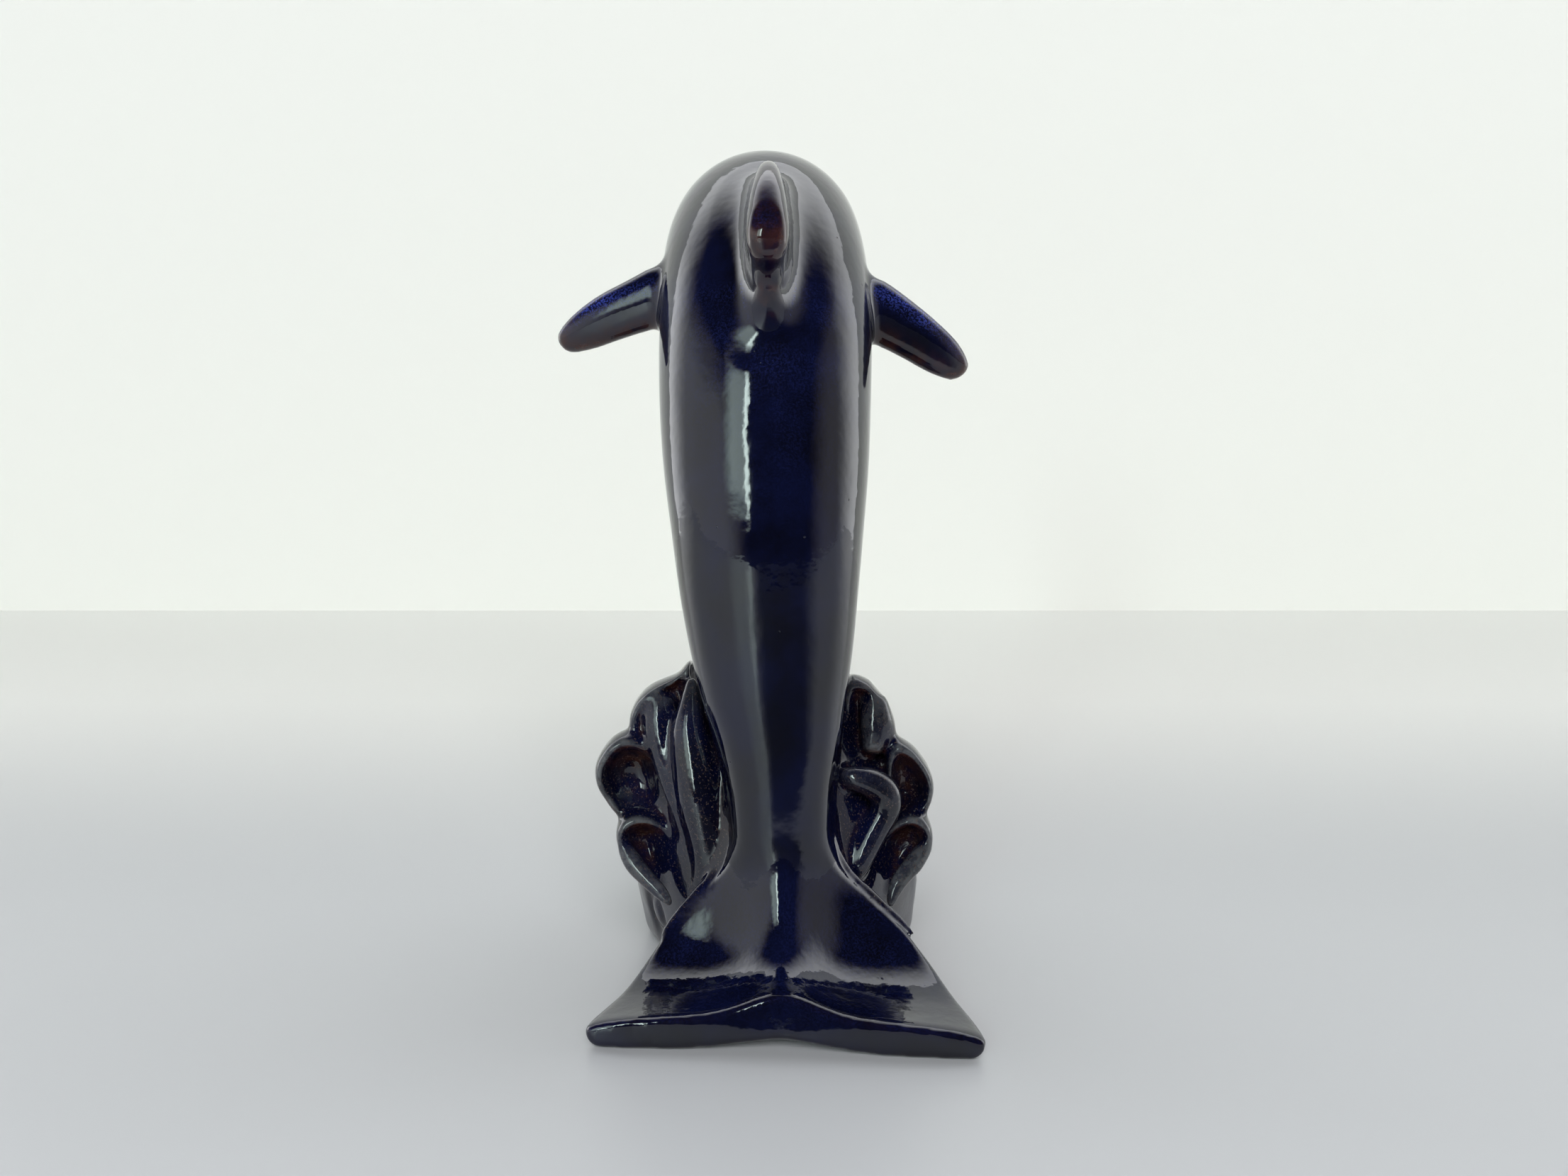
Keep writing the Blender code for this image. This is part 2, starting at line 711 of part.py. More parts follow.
def crest_rings(depths, outline, sides):
    """A cupped crest: from the bottom of its cup out over a rolled rim and back behind it.

    The rim stands highest on the side away from the trunk and sinks toward it, so the cup runs out there.
    """
    centre_y, cup, behind = depths
    closed = outline + outline[:1]
    middle = Vector((sum(p[0] for p in outline) / len(outline), sum(p[1] for p in outline) / len(outline)))
    loop = smooth_rows([(x, z, 0.0) for x, z in [outline[-1]] + closed + [outline[1]]], 6)
    loop = [Vector(point[:2]) - middle for point in loop[6 : 6 + 6 * len(outline)]]
    outward = Vector((math.copysign(0.8, middle.x), 0.6))
    edge = []
    for side in range(sides):
        angle = 2 * math.pi * side / sides
        heading = Vector((math.cos(angle), math.sin(angle)))
        best = max(loop, key=lambda point: point.normalized().dot(heading))
        rise = 1.0 - CREST_OPENING * (0.5 - 0.5 * heading.dot(outward))
        edge.append((heading * best.length, CREST_RIM * rise))
    profile = [
        (0.10, cup, 0.0),
        (0.34, cup * 0.86, 0.0),
        (0.54, cup * 0.45, 0.0),
        (0.70, 0.0, -0.35),
        (0.82, 0.0, -0.95),
        (0.95, 0.0, -0.55),
        (1.0, 0.0, 0.5),
        (0.97, 0.0, 1.9),
        (0.88, behind * 0.48, 0.0),
        (0.68, behind * 0.74, 0.0),
        (0.36, behind * 0.94, 0.0),
        (0.10, behind, 0.0),
    ]
    inward = -math.copysign(CREST_TRAIL[0], middle.x)
    rings = []
    for share, push, roll in profile:
        trail = max(push / behind, 0.0) ** 2
        at_x = middle.x + inward * trail
        at_z = middle.y + CREST_TRAIL[1] * trail
        ring = []
        for point, rim in edge:
            ring.append((at_x + point.x * share, centre_y + push + rim * roll, at_z + point.y * share))
        rings.append(ring)
    return rings


def tube_rings(rows, sides):
    """Round sections along a path of x, y, z, radius."""
    rings = []
    for index, row in enumerate(rows):
        centre = Vector(row[:3])
        ahead = Vector(rows[min(index + 1, len(rows) - 1)][:3])
        behind = Vector(rows[max(index - 1, 0)][:3])
        run = (ahead - behind).normalized()
        across = run.cross(Vector((0.0, 1.0, 0.0))).normalized()
        forth = across.cross(run).normalized()
        ring = []
        for side in range(sides):
            angle = 2 * math.pi * side / sides
            ring.append(centre + (across * math.cos(angle) + forth * math.sin(angle)) * row[3])
        rings.append(ring)
    return rings


def ball(name, centre, sizes):
    """An oval solid from a UV sphere, kept with the cutters."""
    bpy.ops.mesh.primitive_uv_sphere_add(segments=14, ring_count=8, radius=MM)
    obj = bpy.context.object
    obj.name = name
    obj.data.transform(Matrix.Diagonal((*sizes, 1.0)))
    obj.data.transform(Matrix.Translation(Vector(centre) * MM))
    return as_cutter(obj)


# Trunk, stretched from its stock to the main sizes
spine_scale = HEAD_REACH / (TRUNK[-1][0] - TRUNK[0][0])
rise_scale = (ARCH_TOP - STOCK_TOP) / (max(row[1] for row in TRUNK) - TRUNK[0][1])
width_scale = BODY_WIDTH / (2 * max(row[3] for row in TRUNK))
depth_scale = BODY_DEPTH / max(row[4] + row[5] for row in TRUNK)
trunk = stretched(
    TRUNK,
    (spine_scale, rise_scale, 1.0, width_scale, depth_scale, depth_scale),
    ((TRUNK[0][0], STOCK_BACK), (TRUNK[0][1], STOCK_TOP), 0.0, 0.0, 0.0, 0.0),
)
spine = smooth_rows(trunk, TRUNK_STEPS)
spine[0][1] += GAP / 2
body = loft("dolphin_body", trunk_rings(spine, TRUNK_SIDES), GLAZE)
body_clearance = inflated(body)

# Flukes, from the stock down to the table
spread = smooth_rows(fluke_rows(trunk[0]), FLUKE_STEPS)
spread[0][1] -= GAP / 2
spread[0][3] -= GAP / 2
flukes = loft("tail_flukes", fluke_rings(spread, FLUKE_SIDES, trunk[0][2]), GLAZE)

# Face
for side_name, turn in (("right_eye", EYE_TURN), ("left_eye", math.pi - EYE_TURN)):
    eye_at = on_trunk(spine, from_tip(spine, EYE_FROM_TIP), turn)
    cut(body, ball(side_name, eye_at, (EYE_RADIUS * 0.8, EYE_RADIUS, EYE_RADIUS)), "UNION")
for side_name, turn in (("right_lip", MOUTH_TURN), ("left_lip", math.pi - MOUTH_TURN)):
    lip = [on_trunk(spine, from_tip(spine, MOUTH_LENGTH * (10 - step) / 10), turn) for step in range(11)]
    lip.append(lip[-1] + (lip[-1] - lip[-2]) * 0.8)
    groove = as_cutter(loft(side_name, tube_rings([(*point, MOUTH_RADIUS) for point in lip], 8)))
    cut(body, groove)
blowhole_at = on_trunk(spine, from_tip(spine, BLOWHOLE_FROM_TIP), math.pi / 2)
cut(body, ball("blowhole", blowhole_at, (BLOWHOLE_WIDTH / 2, BLOWHOLE_WIDTH * 0.3, 0.9)))

# Fins, cut to sit on the trunk
fin_scale = FIN_REACH / -FIN[-1][2]
fin_half = FIN_THICKNESS / (2 * FIN[0][4])
fin = stretched(FIN, (fin_scale, fin_scale, fin_scale, fin_scale, fin_half))
fin_anchor = on_trunk(spine, from_tip(spine, FIN_FROM_TIP), math.pi / 2)
dorsal = loft("dorsal_fin", fin_rings(smooth_rows(fin, FIN_STEPS), FIN_SIDES, fin_anchor), GLAZE)
cut(dorsal, body_clearance)
flipper_half = FLIPPER_THICKNESS / (2 * LEFT_FLIPPER[0][4])
for side_name, rows, reach, hand in (
    ("left_flipper", LEFT_FLIPPER, LEFT_FLIPPER_REACH, -1),
    ("right_flipper", RIGHT_FLIPPER, RIGHT_FLIPPER_REACH, 1),
):
    scale = reach / rows[-1][0]
    rows = smooth_rows(stretched(rows, (scale, scale, scale, scale, flipper_half, 1.0)), FLIPPER_STEPS)
    y, z, lean, half = at_place(spine, from_tip(spine, FLIPPER_FROM_TIP))[:4]
    side_of_trunk = Vector((lean + hand * half, y, z))
    flipper = loft(side_name, flipper_rings(rows, FLIPPER_SIDES, side_of_trunk, hand), GLAZE)
    cut(flipper, body_clearance)

# Wave: its drawn stations and paths all stretch from the stock to the main sizes of the wave
wave_x = WAVE_WIDTH / (max(row[1] for row in WAVE) + max(row[2] for row in WAVE))
wave_y = WAVE_DEPTH / (max(row[4] for row in WAVE) - min(row[3] for row in WAVE))
wave_z = WAVE_HEIGHT / WAVE[-1][0]
along = (TRUNK[0][0], STOCK_BACK)
swell_rows = stretched(
    WAVE,
    (wave_z, wave_x, wave_x, wave_y, wave_y, 1.0),
    (0.0, 0.0, 0.0, along, along, 0.0),
)


def on_wave(path):
    return stretched(path, (wave_x, wave_y, wave_z, 1.0), (0.0, along, 0.0, 0.0))


# The swell first, then the rolls and crests that are laid on it, each cut back from what it is laid on
fluke_clearance = inflated(flukes)
base = loft("wave_base", wave_rings(smooth_rows(swell_rows, WAVE_STEPS), WAVE_SIDES), GLAZE)
standing = [body_clearance, fluke_clearance, inflated(base)]
for other in standing[:2]:
    cut(base, other)
for roll_name, rows in ROLLS.items():
    roll = loft(roll_name, tube_rings(smooth_rows(on_wave(rows), ROLL_STEPS), ROLL_SIDES), GLAZE)
    clearance = inflated(roll)
    for other in standing[:3]:
        cut(roll, other)
    standing.append(clearance)
for crest_name, (depths, outline) in CRESTS.items():
    rim_y = along[1] + (depths[0] - along[0]) * wave_y
    outline = [(x * wave_x, z * wave_z) for x, z in outline]
    forms = [loft("cup", crest_rings((rim_y, *depths[1:]), outline, CREST_SIDES))]
    paths = [ridge_path(swell_rows, RIDGES[crest_name], outline[0][0])]
    if crest_name in FOLDS:
        paths.append(on_wave(FOLDS[crest_name]))
    for path in paths:
        forms.append(loft("fold", tube_rings(smooth_rows(path, ROLL_STEPS), ROLL_SIDES)))
    crest = fused(crest_name, forms, GLAZE, CREST_TRIANGLES)
    clearance = inflated(crest)
    for other in standing:
        cut(crest, other)
    standing.append(clearance)

# Flank, foot and vent
oval_x, oval_y, oval_z, oval_length, oval_height = FLANK_OVAL
oval_at = (oval_x * wave_x, along[1] + (oval_y - along[0]) * wave_y, oval_z * wave_z)
cut(base, ball("flank_oval", oval_at, (OVAL_DEPTH, oval_length, oval_height)))
foot = swell_rows[0]
inner = (foot[1] - FOOT_RING, foot[2] - FOOT_RING, foot[3] + 2.0 * FOOT_RING, foot[4] - FOOT_RING, 0.0)
cut(base, as_cutter(loft("foot_recess", wave_rings([(-1.0, *inner), (FOOT_RECESS, *inner)], 40))))
bpy.ops.mesh.primitive_cylinder_add(
    vertices=32,
    radius=VENT_RADIUS * MM,
    depth=2.0 * VENT_DEPTH * MM,
    location=(VENT_PLACE[0] * wave_x * MM, (along[1] + (VENT_PLACE[1] - along[0]) * wave_y) * MM, 0.0),
)
vent = as_cutter(bpy.context.object)
vent.name = "vent"
cut(base, vent)

# Every piece moves together so the origin sits under the middle of the whole, at the table
for made in list(collection.objects):
    tidy_mesh(made)
corners = [vert.co for made in collection.objects for vert in made.data.vertices]
low = Vector([min(point[axis] for point in corners) for axis in range(3)])
high = Vector([max(point[axis] for point in corners) for axis in range(3)])
shift = Vector((-(low.x + high.x) / 2, -(low.y + high.y) / 2, -low.z))
for made in collection.objects:
    made.data.transform(Matrix.Translation(shift))
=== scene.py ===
"""Leaping dolphin on a wave: the dressed scene.

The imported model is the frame. Every node gets a finer skin of the same forms: all of them are run together
into one glazed surface, with the glaze pooled in the joins, and that surface is shared out among the nodes.
"""

import math

import bmesh
import bpy
import numpy as np
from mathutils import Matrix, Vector
from mathutils.bvhtree import BVHTree


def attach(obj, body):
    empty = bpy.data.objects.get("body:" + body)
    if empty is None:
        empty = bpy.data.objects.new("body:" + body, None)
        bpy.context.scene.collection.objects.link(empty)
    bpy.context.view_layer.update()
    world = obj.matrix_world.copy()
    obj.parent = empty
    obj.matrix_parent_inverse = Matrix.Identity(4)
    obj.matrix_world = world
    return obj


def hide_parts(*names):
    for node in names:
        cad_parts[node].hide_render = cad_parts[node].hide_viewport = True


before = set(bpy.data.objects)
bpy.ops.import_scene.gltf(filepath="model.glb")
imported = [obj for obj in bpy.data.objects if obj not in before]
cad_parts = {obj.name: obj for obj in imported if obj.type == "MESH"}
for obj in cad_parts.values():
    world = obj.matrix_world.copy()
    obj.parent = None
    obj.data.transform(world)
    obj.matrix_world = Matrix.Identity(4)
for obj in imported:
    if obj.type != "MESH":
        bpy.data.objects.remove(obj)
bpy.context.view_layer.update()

MM = 0.001
# The forms are drawn in mm round a point under the wave; this moves them over the origin of the model
SHIFT = Vector((4.43701446, -13.91327381, 0.0))

# Sizes of the figurine in mm, as in the part
FLUKE_LEFT = 36.1
FLUKE_RIGHT = 37.0
FLUKE_REACH = 21.0
FLUKE_THICKNESS = 6.6
WING_SHARE = 0.88
RIDGE_WIDTH = 9.0
NOTCH_DEPTH = 1.9
NOTCH_WIDTH = 13.0
FLUKE_TURN = math.radians(4.0)
FIN_FROM_TIP = 90.5
FLIPPER_FROM_TIP = 104.9
FLIPPER_RAKE = 0.10
EYE_FROM_TIP = 40.4
EYE_RADIUS = 1.9
EYE_BULGE = 0.8
EYE_TURN = math.radians(-14.0)
MOUTH_LENGTH = 31.0
MOUTH_RADIUS = 0.55
MOUTH_TURN = math.radians(-22.0)
BLOWHOLE_FROM_TIP = 63.7
BLOWHOLE_WIDTH = 4.0
WAVE_MIDDLE = -1.2
WAVE_FLUTES = 8
WAVE_SWIRL = 0.045
WAVE_NEAR_POWER = 1.9
WAVE_FAR_POWER = 0.86
WAVE_WIDEST = 0.42
FLUTES_FROM = 0.35
CREST_RIM = 2.9
CREST_OPENING = 0.75
CREST_TRAIL = (7.0, -2.5)
FOOT_RECESS = 1.6
FOOT_RING = 4.5
VENT_RADIUS = 3.5
VENT_DEPTH = 12.0

# Finer details of the skins, in mm and shares
FIN_FULLNESS = 0.10
FIN_BLUNTNESS = 0.75
MOUTH_SPREAD = 1.1
BLOWHOLE_DEPTH = 0.9
BLOWHOLE_SLIT = 0.26
BLOWHOLE_BEND = 0.12
RING_DEPTH = 0.85
RING_AT = 0.72
RING_WIDTH = 0.3
HEAD_FROM_Y = 40.0
CROWN_FROM_Z = 140.0
LEFT_FLANK_TO_X = -20.0

# Sides of the sections, and how many rows are drawn for each row of a table
TRUNK_SIDES = 120
FLUKE_SIDES = 160
FIN_SIDES = 56
FLIPPER_SIDES = 48
BASE_SIDES = 180
CREST_SIDES = 80
TUBE_SIDES = 36
LIP_SIDES = 24
EYE_SIDES = 40
EYE_LEVELS = 24
SPINE_STEPS = 10
STEPS = 8
WAVE_STEPS = 6
CREST_STEPS = 4
OUTLINE_STEPS = 6

# Trunk: y, z, sideways lean, half width, depth to the back, depth to the belly
TRUNK = [
    (-20.2, 33.0, -0.5, 9.9, 8.8, 8.6),
    (-19.2, 41.0, -0.7, 10.6, 9.9, 9.4),
    (-17.8, 49.5, -1.1, 12.3, 11.4, 10.9),
    (-16.2, 58.0, -2.0, 14.3, 13.1, 12.6),
    (-14.4, 68.0, -2.5, 16.2, 14.8, 14.3),
    (-12.2, 79.0, -3.0, 17.8, 16.6, 16.0),
    (-9.6, 91.0, -3.3, 19.2, 18.4, 17.6),
    (-6.2, 103.5, -3.6, 20.6, 19.9, 18.8),
    (-2.0, 116.5, -3.8, 21.4, 20.9, 19.4),
    (3.8, 129.5, -3.8, 21.8, 21.4, 19.6),
    (12.4, 141.0, -4.0, 21.7, 21.3, 19.4),
    (24.0, 148.8, -4.1, 20.9, 20.8, 18.8),
    (36.4, 151.0, -3.8, 19.5, 19.0, 17.8),
    (47.8, 147.6, -3.1, 18.2, 17.2, 15.8),
    (56.8, 140.6, -2.7, 15.0, 15.0, 13.0),
    (62.4, 133.2, -2.4, 10.8, 11.6, 10.0),
    (66.2, 126.8, -2.2, 7.2, 6.6, 7.2),
    (70.2, 120.4, -2.0, 5.6, 4.6, 5.0),
    (74.4, 114.0, -1.8, 4.6, 3.8, 3.8),
    (77.6, 109.4, -1.7, 3.3, 2.8, 2.8),
    (79.2, 107.0, -1.6, 1.5, 1.3, 1.3),
]

# Flukes, in shares of what lies between the stock and the trailing edge:
# upper reach, upper height, lower reach, lower height, left width, right width, then wing thickness.
# The blades are a little flatter than in the part, and thicker toward the trailing edge
FLUKES = [
    (0.0, 1.0, 0.0, 1.0, 0.0, 0.0, 3.0),
    (0.014, 0.921, 0.005, 0.879, 0.015, 0.02, 2.4),
    (0.052, 0.815, 0.013, 0.682, 0.088, 0.096, 1.5),
    (0.119, 0.691, 0.031, 0.473, 0.28, 0.3, 1.12),
    (0.219, 0.562, 0.063, 0.258, 0.472, 0.535, 1.0),
    (0.343, 0.460, 0.141, 0.085, 0.61, 0.69, 0.95),
    (0.486, 0.389, 0.272, -0.014, 0.71, 0.79, 0.93),
    (0.629, 0.350, 0.442, -0.072, 0.8, 0.868, 1.0),
    (0.762, 0.334, 0.626, -0.097, 0.892, 0.934, 1.1),
    (0.876, 0.324, 0.796, -0.110, 0.965, 0.98, 1.2),
    (0.962, 0.312, 0.932, -0.105, 1.0, 1.0, 1.26),
    (1.0, 0.280, 1.0, -0.080, 0.985, 0.985, 1.1),
]
FLUKE_EDGE = 0.2

# Dorsal fin, from a point of the back: leading y, leading z, trailing y, trailing z, half thickness.
# The tip is a little fuller than in the part
FIN = [
    (10.4, 0.7, -11.6, -32.3, 7.4),
    (8.9, 4.7, -15.6, -28.8, 6.2),
    (3.4, 6.9, -18.4, -24.8, 4.7),
    (-4.6, 7.1, -20.2, -20.5, 3.9),
    (-12.6, 5.3, -22.0, -16.9, 3.9),
    (-19.6, 1.9, -24.2, -14.9, 4.0),
    (-25.0, -2.9, -26.6, -13.4, 3.8),
    (-27.3, -6.2, -27.9, -11.8, 2.9),
    (-28.3, -8.0, -28.5, -10.2, 1.5),
]
FIN_LEAN = 1.0

# Flippers, from the side of the trunk: outward, forward, up, half chord, half thickness, turn in degrees
LEFT_FLIPPER = [
    (-10.6, 4.2, 10.5, 8.4, 5.4, 0.0),
    (-5.6, 4.7, 10.1, 7.8, 5.0, 8.0),
    (-1.0, 5.2, 8.9, 6.8, 4.4, 15.0),
    (4.4, 5.8, 7.1, 5.8, 4.0, 22.0),
    (10.9, 6.8, 4.5, 5.2, 3.6, 28.0),
    (16.4, 8.0, 1.7, 4.3, 3.1, 33.0),
    (20.4, 9.0, -0.6, 2.8, 2.2, 38.0),
    (21.6, 9.3, -1.4, 1.4, 1.2, 40.0),
]
RIGHT_FLIPPER = [
    (-9.0, 4.2, 7.9, 8.0, 5.4, 4.0),
    (-4.4, 4.7, 7.3, 7.4, 5.0, 12.0),
    (0.4, 5.2, 5.8, 6.7, 4.4, 22.0),
    (5.4, 6.0, 3.2, 5.9, 4.0, 33.0),
    (10.6, 7.0, -0.1, 5.3, 3.6, 40.0),
    (15.6, 8.2, -3.7, 4.5, 3.1, 45.0),
    (19.0, 9.0, -6.5, 2.9, 2.2, 48.0),
    (20.0, 9.2, -7.4, 1.4, 1.2, 50.0),
]

# Swell of the wave: z, left half width, right half width, near y, far y, fluting depth
WAVE = [
    (0.0, 28.0, 28.6, -22.0, 49.0, 0.0),
    (1.2, 29.1, 29.4, -23.2, 50.6, 0.0),
    (6.0, 30.1, 29.9, -24.0, 52.0, 0.2),
    (13.0, 31.5, 30.6, -24.4, 50.4, 0.5),
    (20.0, 32.6, 30.2, -23.4, 45.6, 0.7),
    (28.0, 32.0, 28.8, -21.6, 39.6, 0.8),
    (36.0, 30.0, 26.0, -19.4, 34.4, 0.8),
    (44.0, 28.0, 22.8, -16.6, 30.6, 0.7),
    (51.0, 25.0, 19.4, -13.4, 28.4, 0.5),
    (57.0, 21.4, 15.8, -9.8, 26.4, 0.3),
    (61.0, 16.8, 11.4, -6.0, 22.6, 0.1),
    (63.2, 11.0, 6.4, -1.0, 16.6, 0.0),
]

# Crests: y of the rim, depth of the cup, depth behind the rim, then the outline as x, z
CRESTS = {
    "left_upper_crest": (
        (-5.0, 1.2, 20.0),
        [(-19.4, 64.4), (-21.6, 61.2), (-24.2, 60.0), (-28.2, 58.0), (-30.7, 55.3), (-32.1, 52.2)]
        + [(-32.0, 49.3), (-29.9, 46.9), (-25.8, 45.4), (-22.0, 44.2), (-18.8, 47.2), (-18.4, 53.3)]
        + [(-18.6, 59.3)],
    ),
    "left_middle_crest": (
        (-7.0, 4.4, 22.0),
        [(-30.3, 48.8), (-34.0, 48.8), (-37.1, 46.1), (-39.2, 42.0), (-38.9, 37.9), (-37.0, 34.5)]
        + [(-34.7, 31.4), (-30.6, 30.0), (-26.1, 30.0), (-23.6, 33.6), (-24.3, 38.6), (-25.6, 44.2)]
        + [(-27.4, 47.4)],
    ),
    "left_lower_crest": (
        (-9.0, 3.6, 22.0),
        [(-30.3, 32.9), (-33.4, 31.6), (-34.8, 29.4), (-34.7, 26.4), (-33.0, 23.6), (-29.8, 20.3)]
        + [(-26.1, 16.8), (-22.4, 14.6), (-20.2, 18.2), (-20.6, 24.0), (-22.6, 28.8), (-25.9, 31.8)],
    ),
    "right_upper_crest": (
        (-5.0, 2.0, 20.0),
        [(13.3, 60.7), (17.0, 59.9), (19.6, 57.2), (21.9, 54.0), (23.1, 50.7), (23.1, 48.0), (21.6, 45.4)]
        + [(18.7, 43.3), (15.0, 42.2), (12.6, 45.2), (12.2, 51.8), (12.4, 57.6)],
    ),
    "right_middle_crest": (
        (-7.0, 4.4, 22.0),
        [(22.8, 47.8), (25.8, 46.6), (28.9, 43.4), (30.8, 39.8), (31.2, 36.6), (30.3, 33.2), (28.6, 31.0)]
        + [(25.1, 29.4), (21.8, 29.0), (19.8, 32.0), (20.6, 36.4), (21.2, 40.6), (21.4, 44.8)],
    ),
    "right_lower_crest": (
        (-9.0, 3.6, 22.0),
        [(27.1, 32.9), (29.5, 31.6), (30.8, 29.0), (30.9, 26.2), (29.6, 23.3), (26.6, 20.2), (23.8, 17.0)]
        + [(20.8, 14.6), (18.0, 17.4), (17.8, 23.6), (20.0, 28.2), (23.2, 31.6)],
    ),
}

# Rolls beside the tail stock: x, y, z, radius
ROLLS = {
    "left_inner_roll": [
        (-18.7, -8.0, 61.2, 1.2), (-18.9, -9.0, 56.2, 2.6), (-19.1, -10.2, 50.5, 3.9),
        (-17.9, -11.8, 43.5, 4.8), (-16.7, -13.4, 36.5, 4.9), (-15.7, -15.0, 30.3, 4.0),
        (-15.8, -16.4, 24.8, 2.7), (-17.4, -17.4, 19.9, 1.1),
    ],
    "right_inner_curl": [
        (11.2, -13.6, 42.4, 1.6), (14.3, -13.8, 41.6, 2.6), (17.6, -13.2, 40.4, 3.2),
        (20.4, -12.8, 38.2, 3.4), (20.8, -12.8, 35.0, 3.2), (19.0, -13.6, 31.6, 3.0),
        (17.0, -14.8, 28.0, 2.9), (15.6, -16.2, 24.6, 2.4), (14.8, -17.4, 21.4, 1.2),
    ],
}

# Folds that run down the near side from a crest: x, y, z, radius
FOLDS = {
    "left_upper_crest": [
        (-25.4, -5.0, 56.8, 2.8), (-25.5, -5.9, 52.9, 3.6), (-25.2, -7.6, 47.9, 3.2),
        (-24.0, -9.6, 42.2, 2.5), (-22.3, -11.2, 36.5, 2.0), (-20.9, -12.4, 31.5, 1.6),
        (-20.2, -13.2, 27.9, 0.9),
    ],
    "left_lower_crest": [
        (-33.0, -9.6, 25.8, 1.9), (-31.0, -11.2, 22.7, 2.2), (-28.1, -12.8, 20.0, 2.0),
        (-25.0, -14.4, 17.4, 1.7), (-22.8, -15.8, 15.2, 1.0),
    ],
    "right_upper_crest": [
        (18.6, -4.6, 56.4, 2.6), (18.9, -5.4, 52.9, 3.4), (18.7, -6.6, 48.6, 3.2),
        (18.1, -8.0, 45.0, 2.0),
    ],
    "right_lower_crest": [
        (29.2, -9.6, 25.8, 1.9), (26.8, -11.2, 22.7, 2.2), (24.0, -12.8, 20.0, 2.0),
        (22.3, -14.4, 17.2, 1.6), (21.6, -15.8, 14.8, 1.0),
    ],
}

# Ridges that run from a crest round the swell and sink into its far side: degrees round from the side,
# z, radius, height above the swell
RIDGES = {
    "left_upper_crest": [
        (0, 50.5, 7.0, 3.8), (18, 49.5, 7.0, 3.5), (36, 47.6, 7.0, 3.2),
        (54, 44.6, 6.6, 2.8), (70, 40.8, 6.2, 2.2), (86, 36.2, 5.6, 1.4),
        (100, 31.4, 5.0, 0.3),
    ],
    "left_middle_crest": [
        (-4, 38.6, 8.0, 4.2), (16, 36.8, 8.0, 3.8), (36, 33.8, 7.6, 3.4),
        (56, 29.6, 7.0, 2.9), (74, 24.4, 6.4, 2.2), (90, 18.6, 5.8, 1.4),
        (104, 13.2, 5.0, 0.3),
    ],
    "left_lower_crest": [
        (-34, 25.6, 5.6, 2.2), (-14, 24.6, 6.8, 1.9), (10, 22.8, 7.0, 1.7),
        (30, 20.0, 6.6, 2.1), (50, 16.4, 6.2, 2.5), (68, 12.4, 5.6, 2.0),
        (84, 8.6, 5.0, 1.2), (96, 5.6, 4.4, 0.3),
    ],
    "right_upper_crest": [
        (0, 49.0, 6.6, 3.2), (18, 47.4, 6.6, 3.1), (36, 44.8, 6.4, 2.9),
        (52, 41.0, 6.2, 2.6), (66, 36.2, 5.8, 2.1), (78, 30.6, 5.2, 1.4),
        (86, 25.0, 4.6, 0.3),
    ],
    "right_middle_crest": [
        (-4, 37.4, 7.4, 3.8), (16, 35.2, 7.4, 3.5), (34, 31.8, 7.0, 3.1),
        (50, 27.2, 6.6, 2.7), (64, 21.6, 6.0, 2.1), (76, 15.6, 5.4, 1.3),
        (84, 10.2, 4.8, 0.3),
    ],
    "right_lower_crest": [
        (-34, 25.2, 5.4, 2.0), (-14, 24.2, 6.6, 1.8), (10, 21.8, 6.8, 1.7),
        (28, 18.6, 6.4, 2.0), (44, 14.8, 6.0, 2.3), (58, 11.0, 5.4, 1.8),
        (70, 7.6, 4.8, 1.0), (78, 5.0, 4.2, 0.3),
    ],
}

# Oval hollow low on the left flank: x, y, z, then half length and half height. Vent: x, y
FLANK_OVAL = (-31.2, -3.0, 9.0, 3.8, 5.8)
VENT_PLACE = (-1.2, 16.0)

# Beads of slip along the stock and the flukes: how far they stand out, back and up, and their radius at
# places of the trunk and of the fluke rows
LIP_OUT = 0.55
LIP_BACK = 1.2
LIP_STOCK_BACK = 0.6
LIP_FLUKE_UP = 0.4
LIP_STOCK = ((5.0, 0.35), (4.0, 0.5), (3.0, 0.65), (2.0, 0.75), (1.0, 0.8), (0.0, 0.8))
LIP_FLUKES = ((8, 0.8), (13, 0.85), (18, 0.85), (23, 0.9), (27, 0.85), (31, 0.75), (35, 0.5))

# Fillets at the roots: their reach and the rounds of softening. Rounds are for the finest voxel
FILLETS = {"dorsal_fin": (6.5, 260), "left_flipper": (3.2, 60), "right_flipper": (3.2, 60)}
FILLET_CORE = 1.4
FIRST_ROUNDS = 14
WAVE_ROUNDS = 16
RELIEF_ROUNDS = 60
BORDER_ROUNDS = 4
FINEST_VOXEL = 0.45


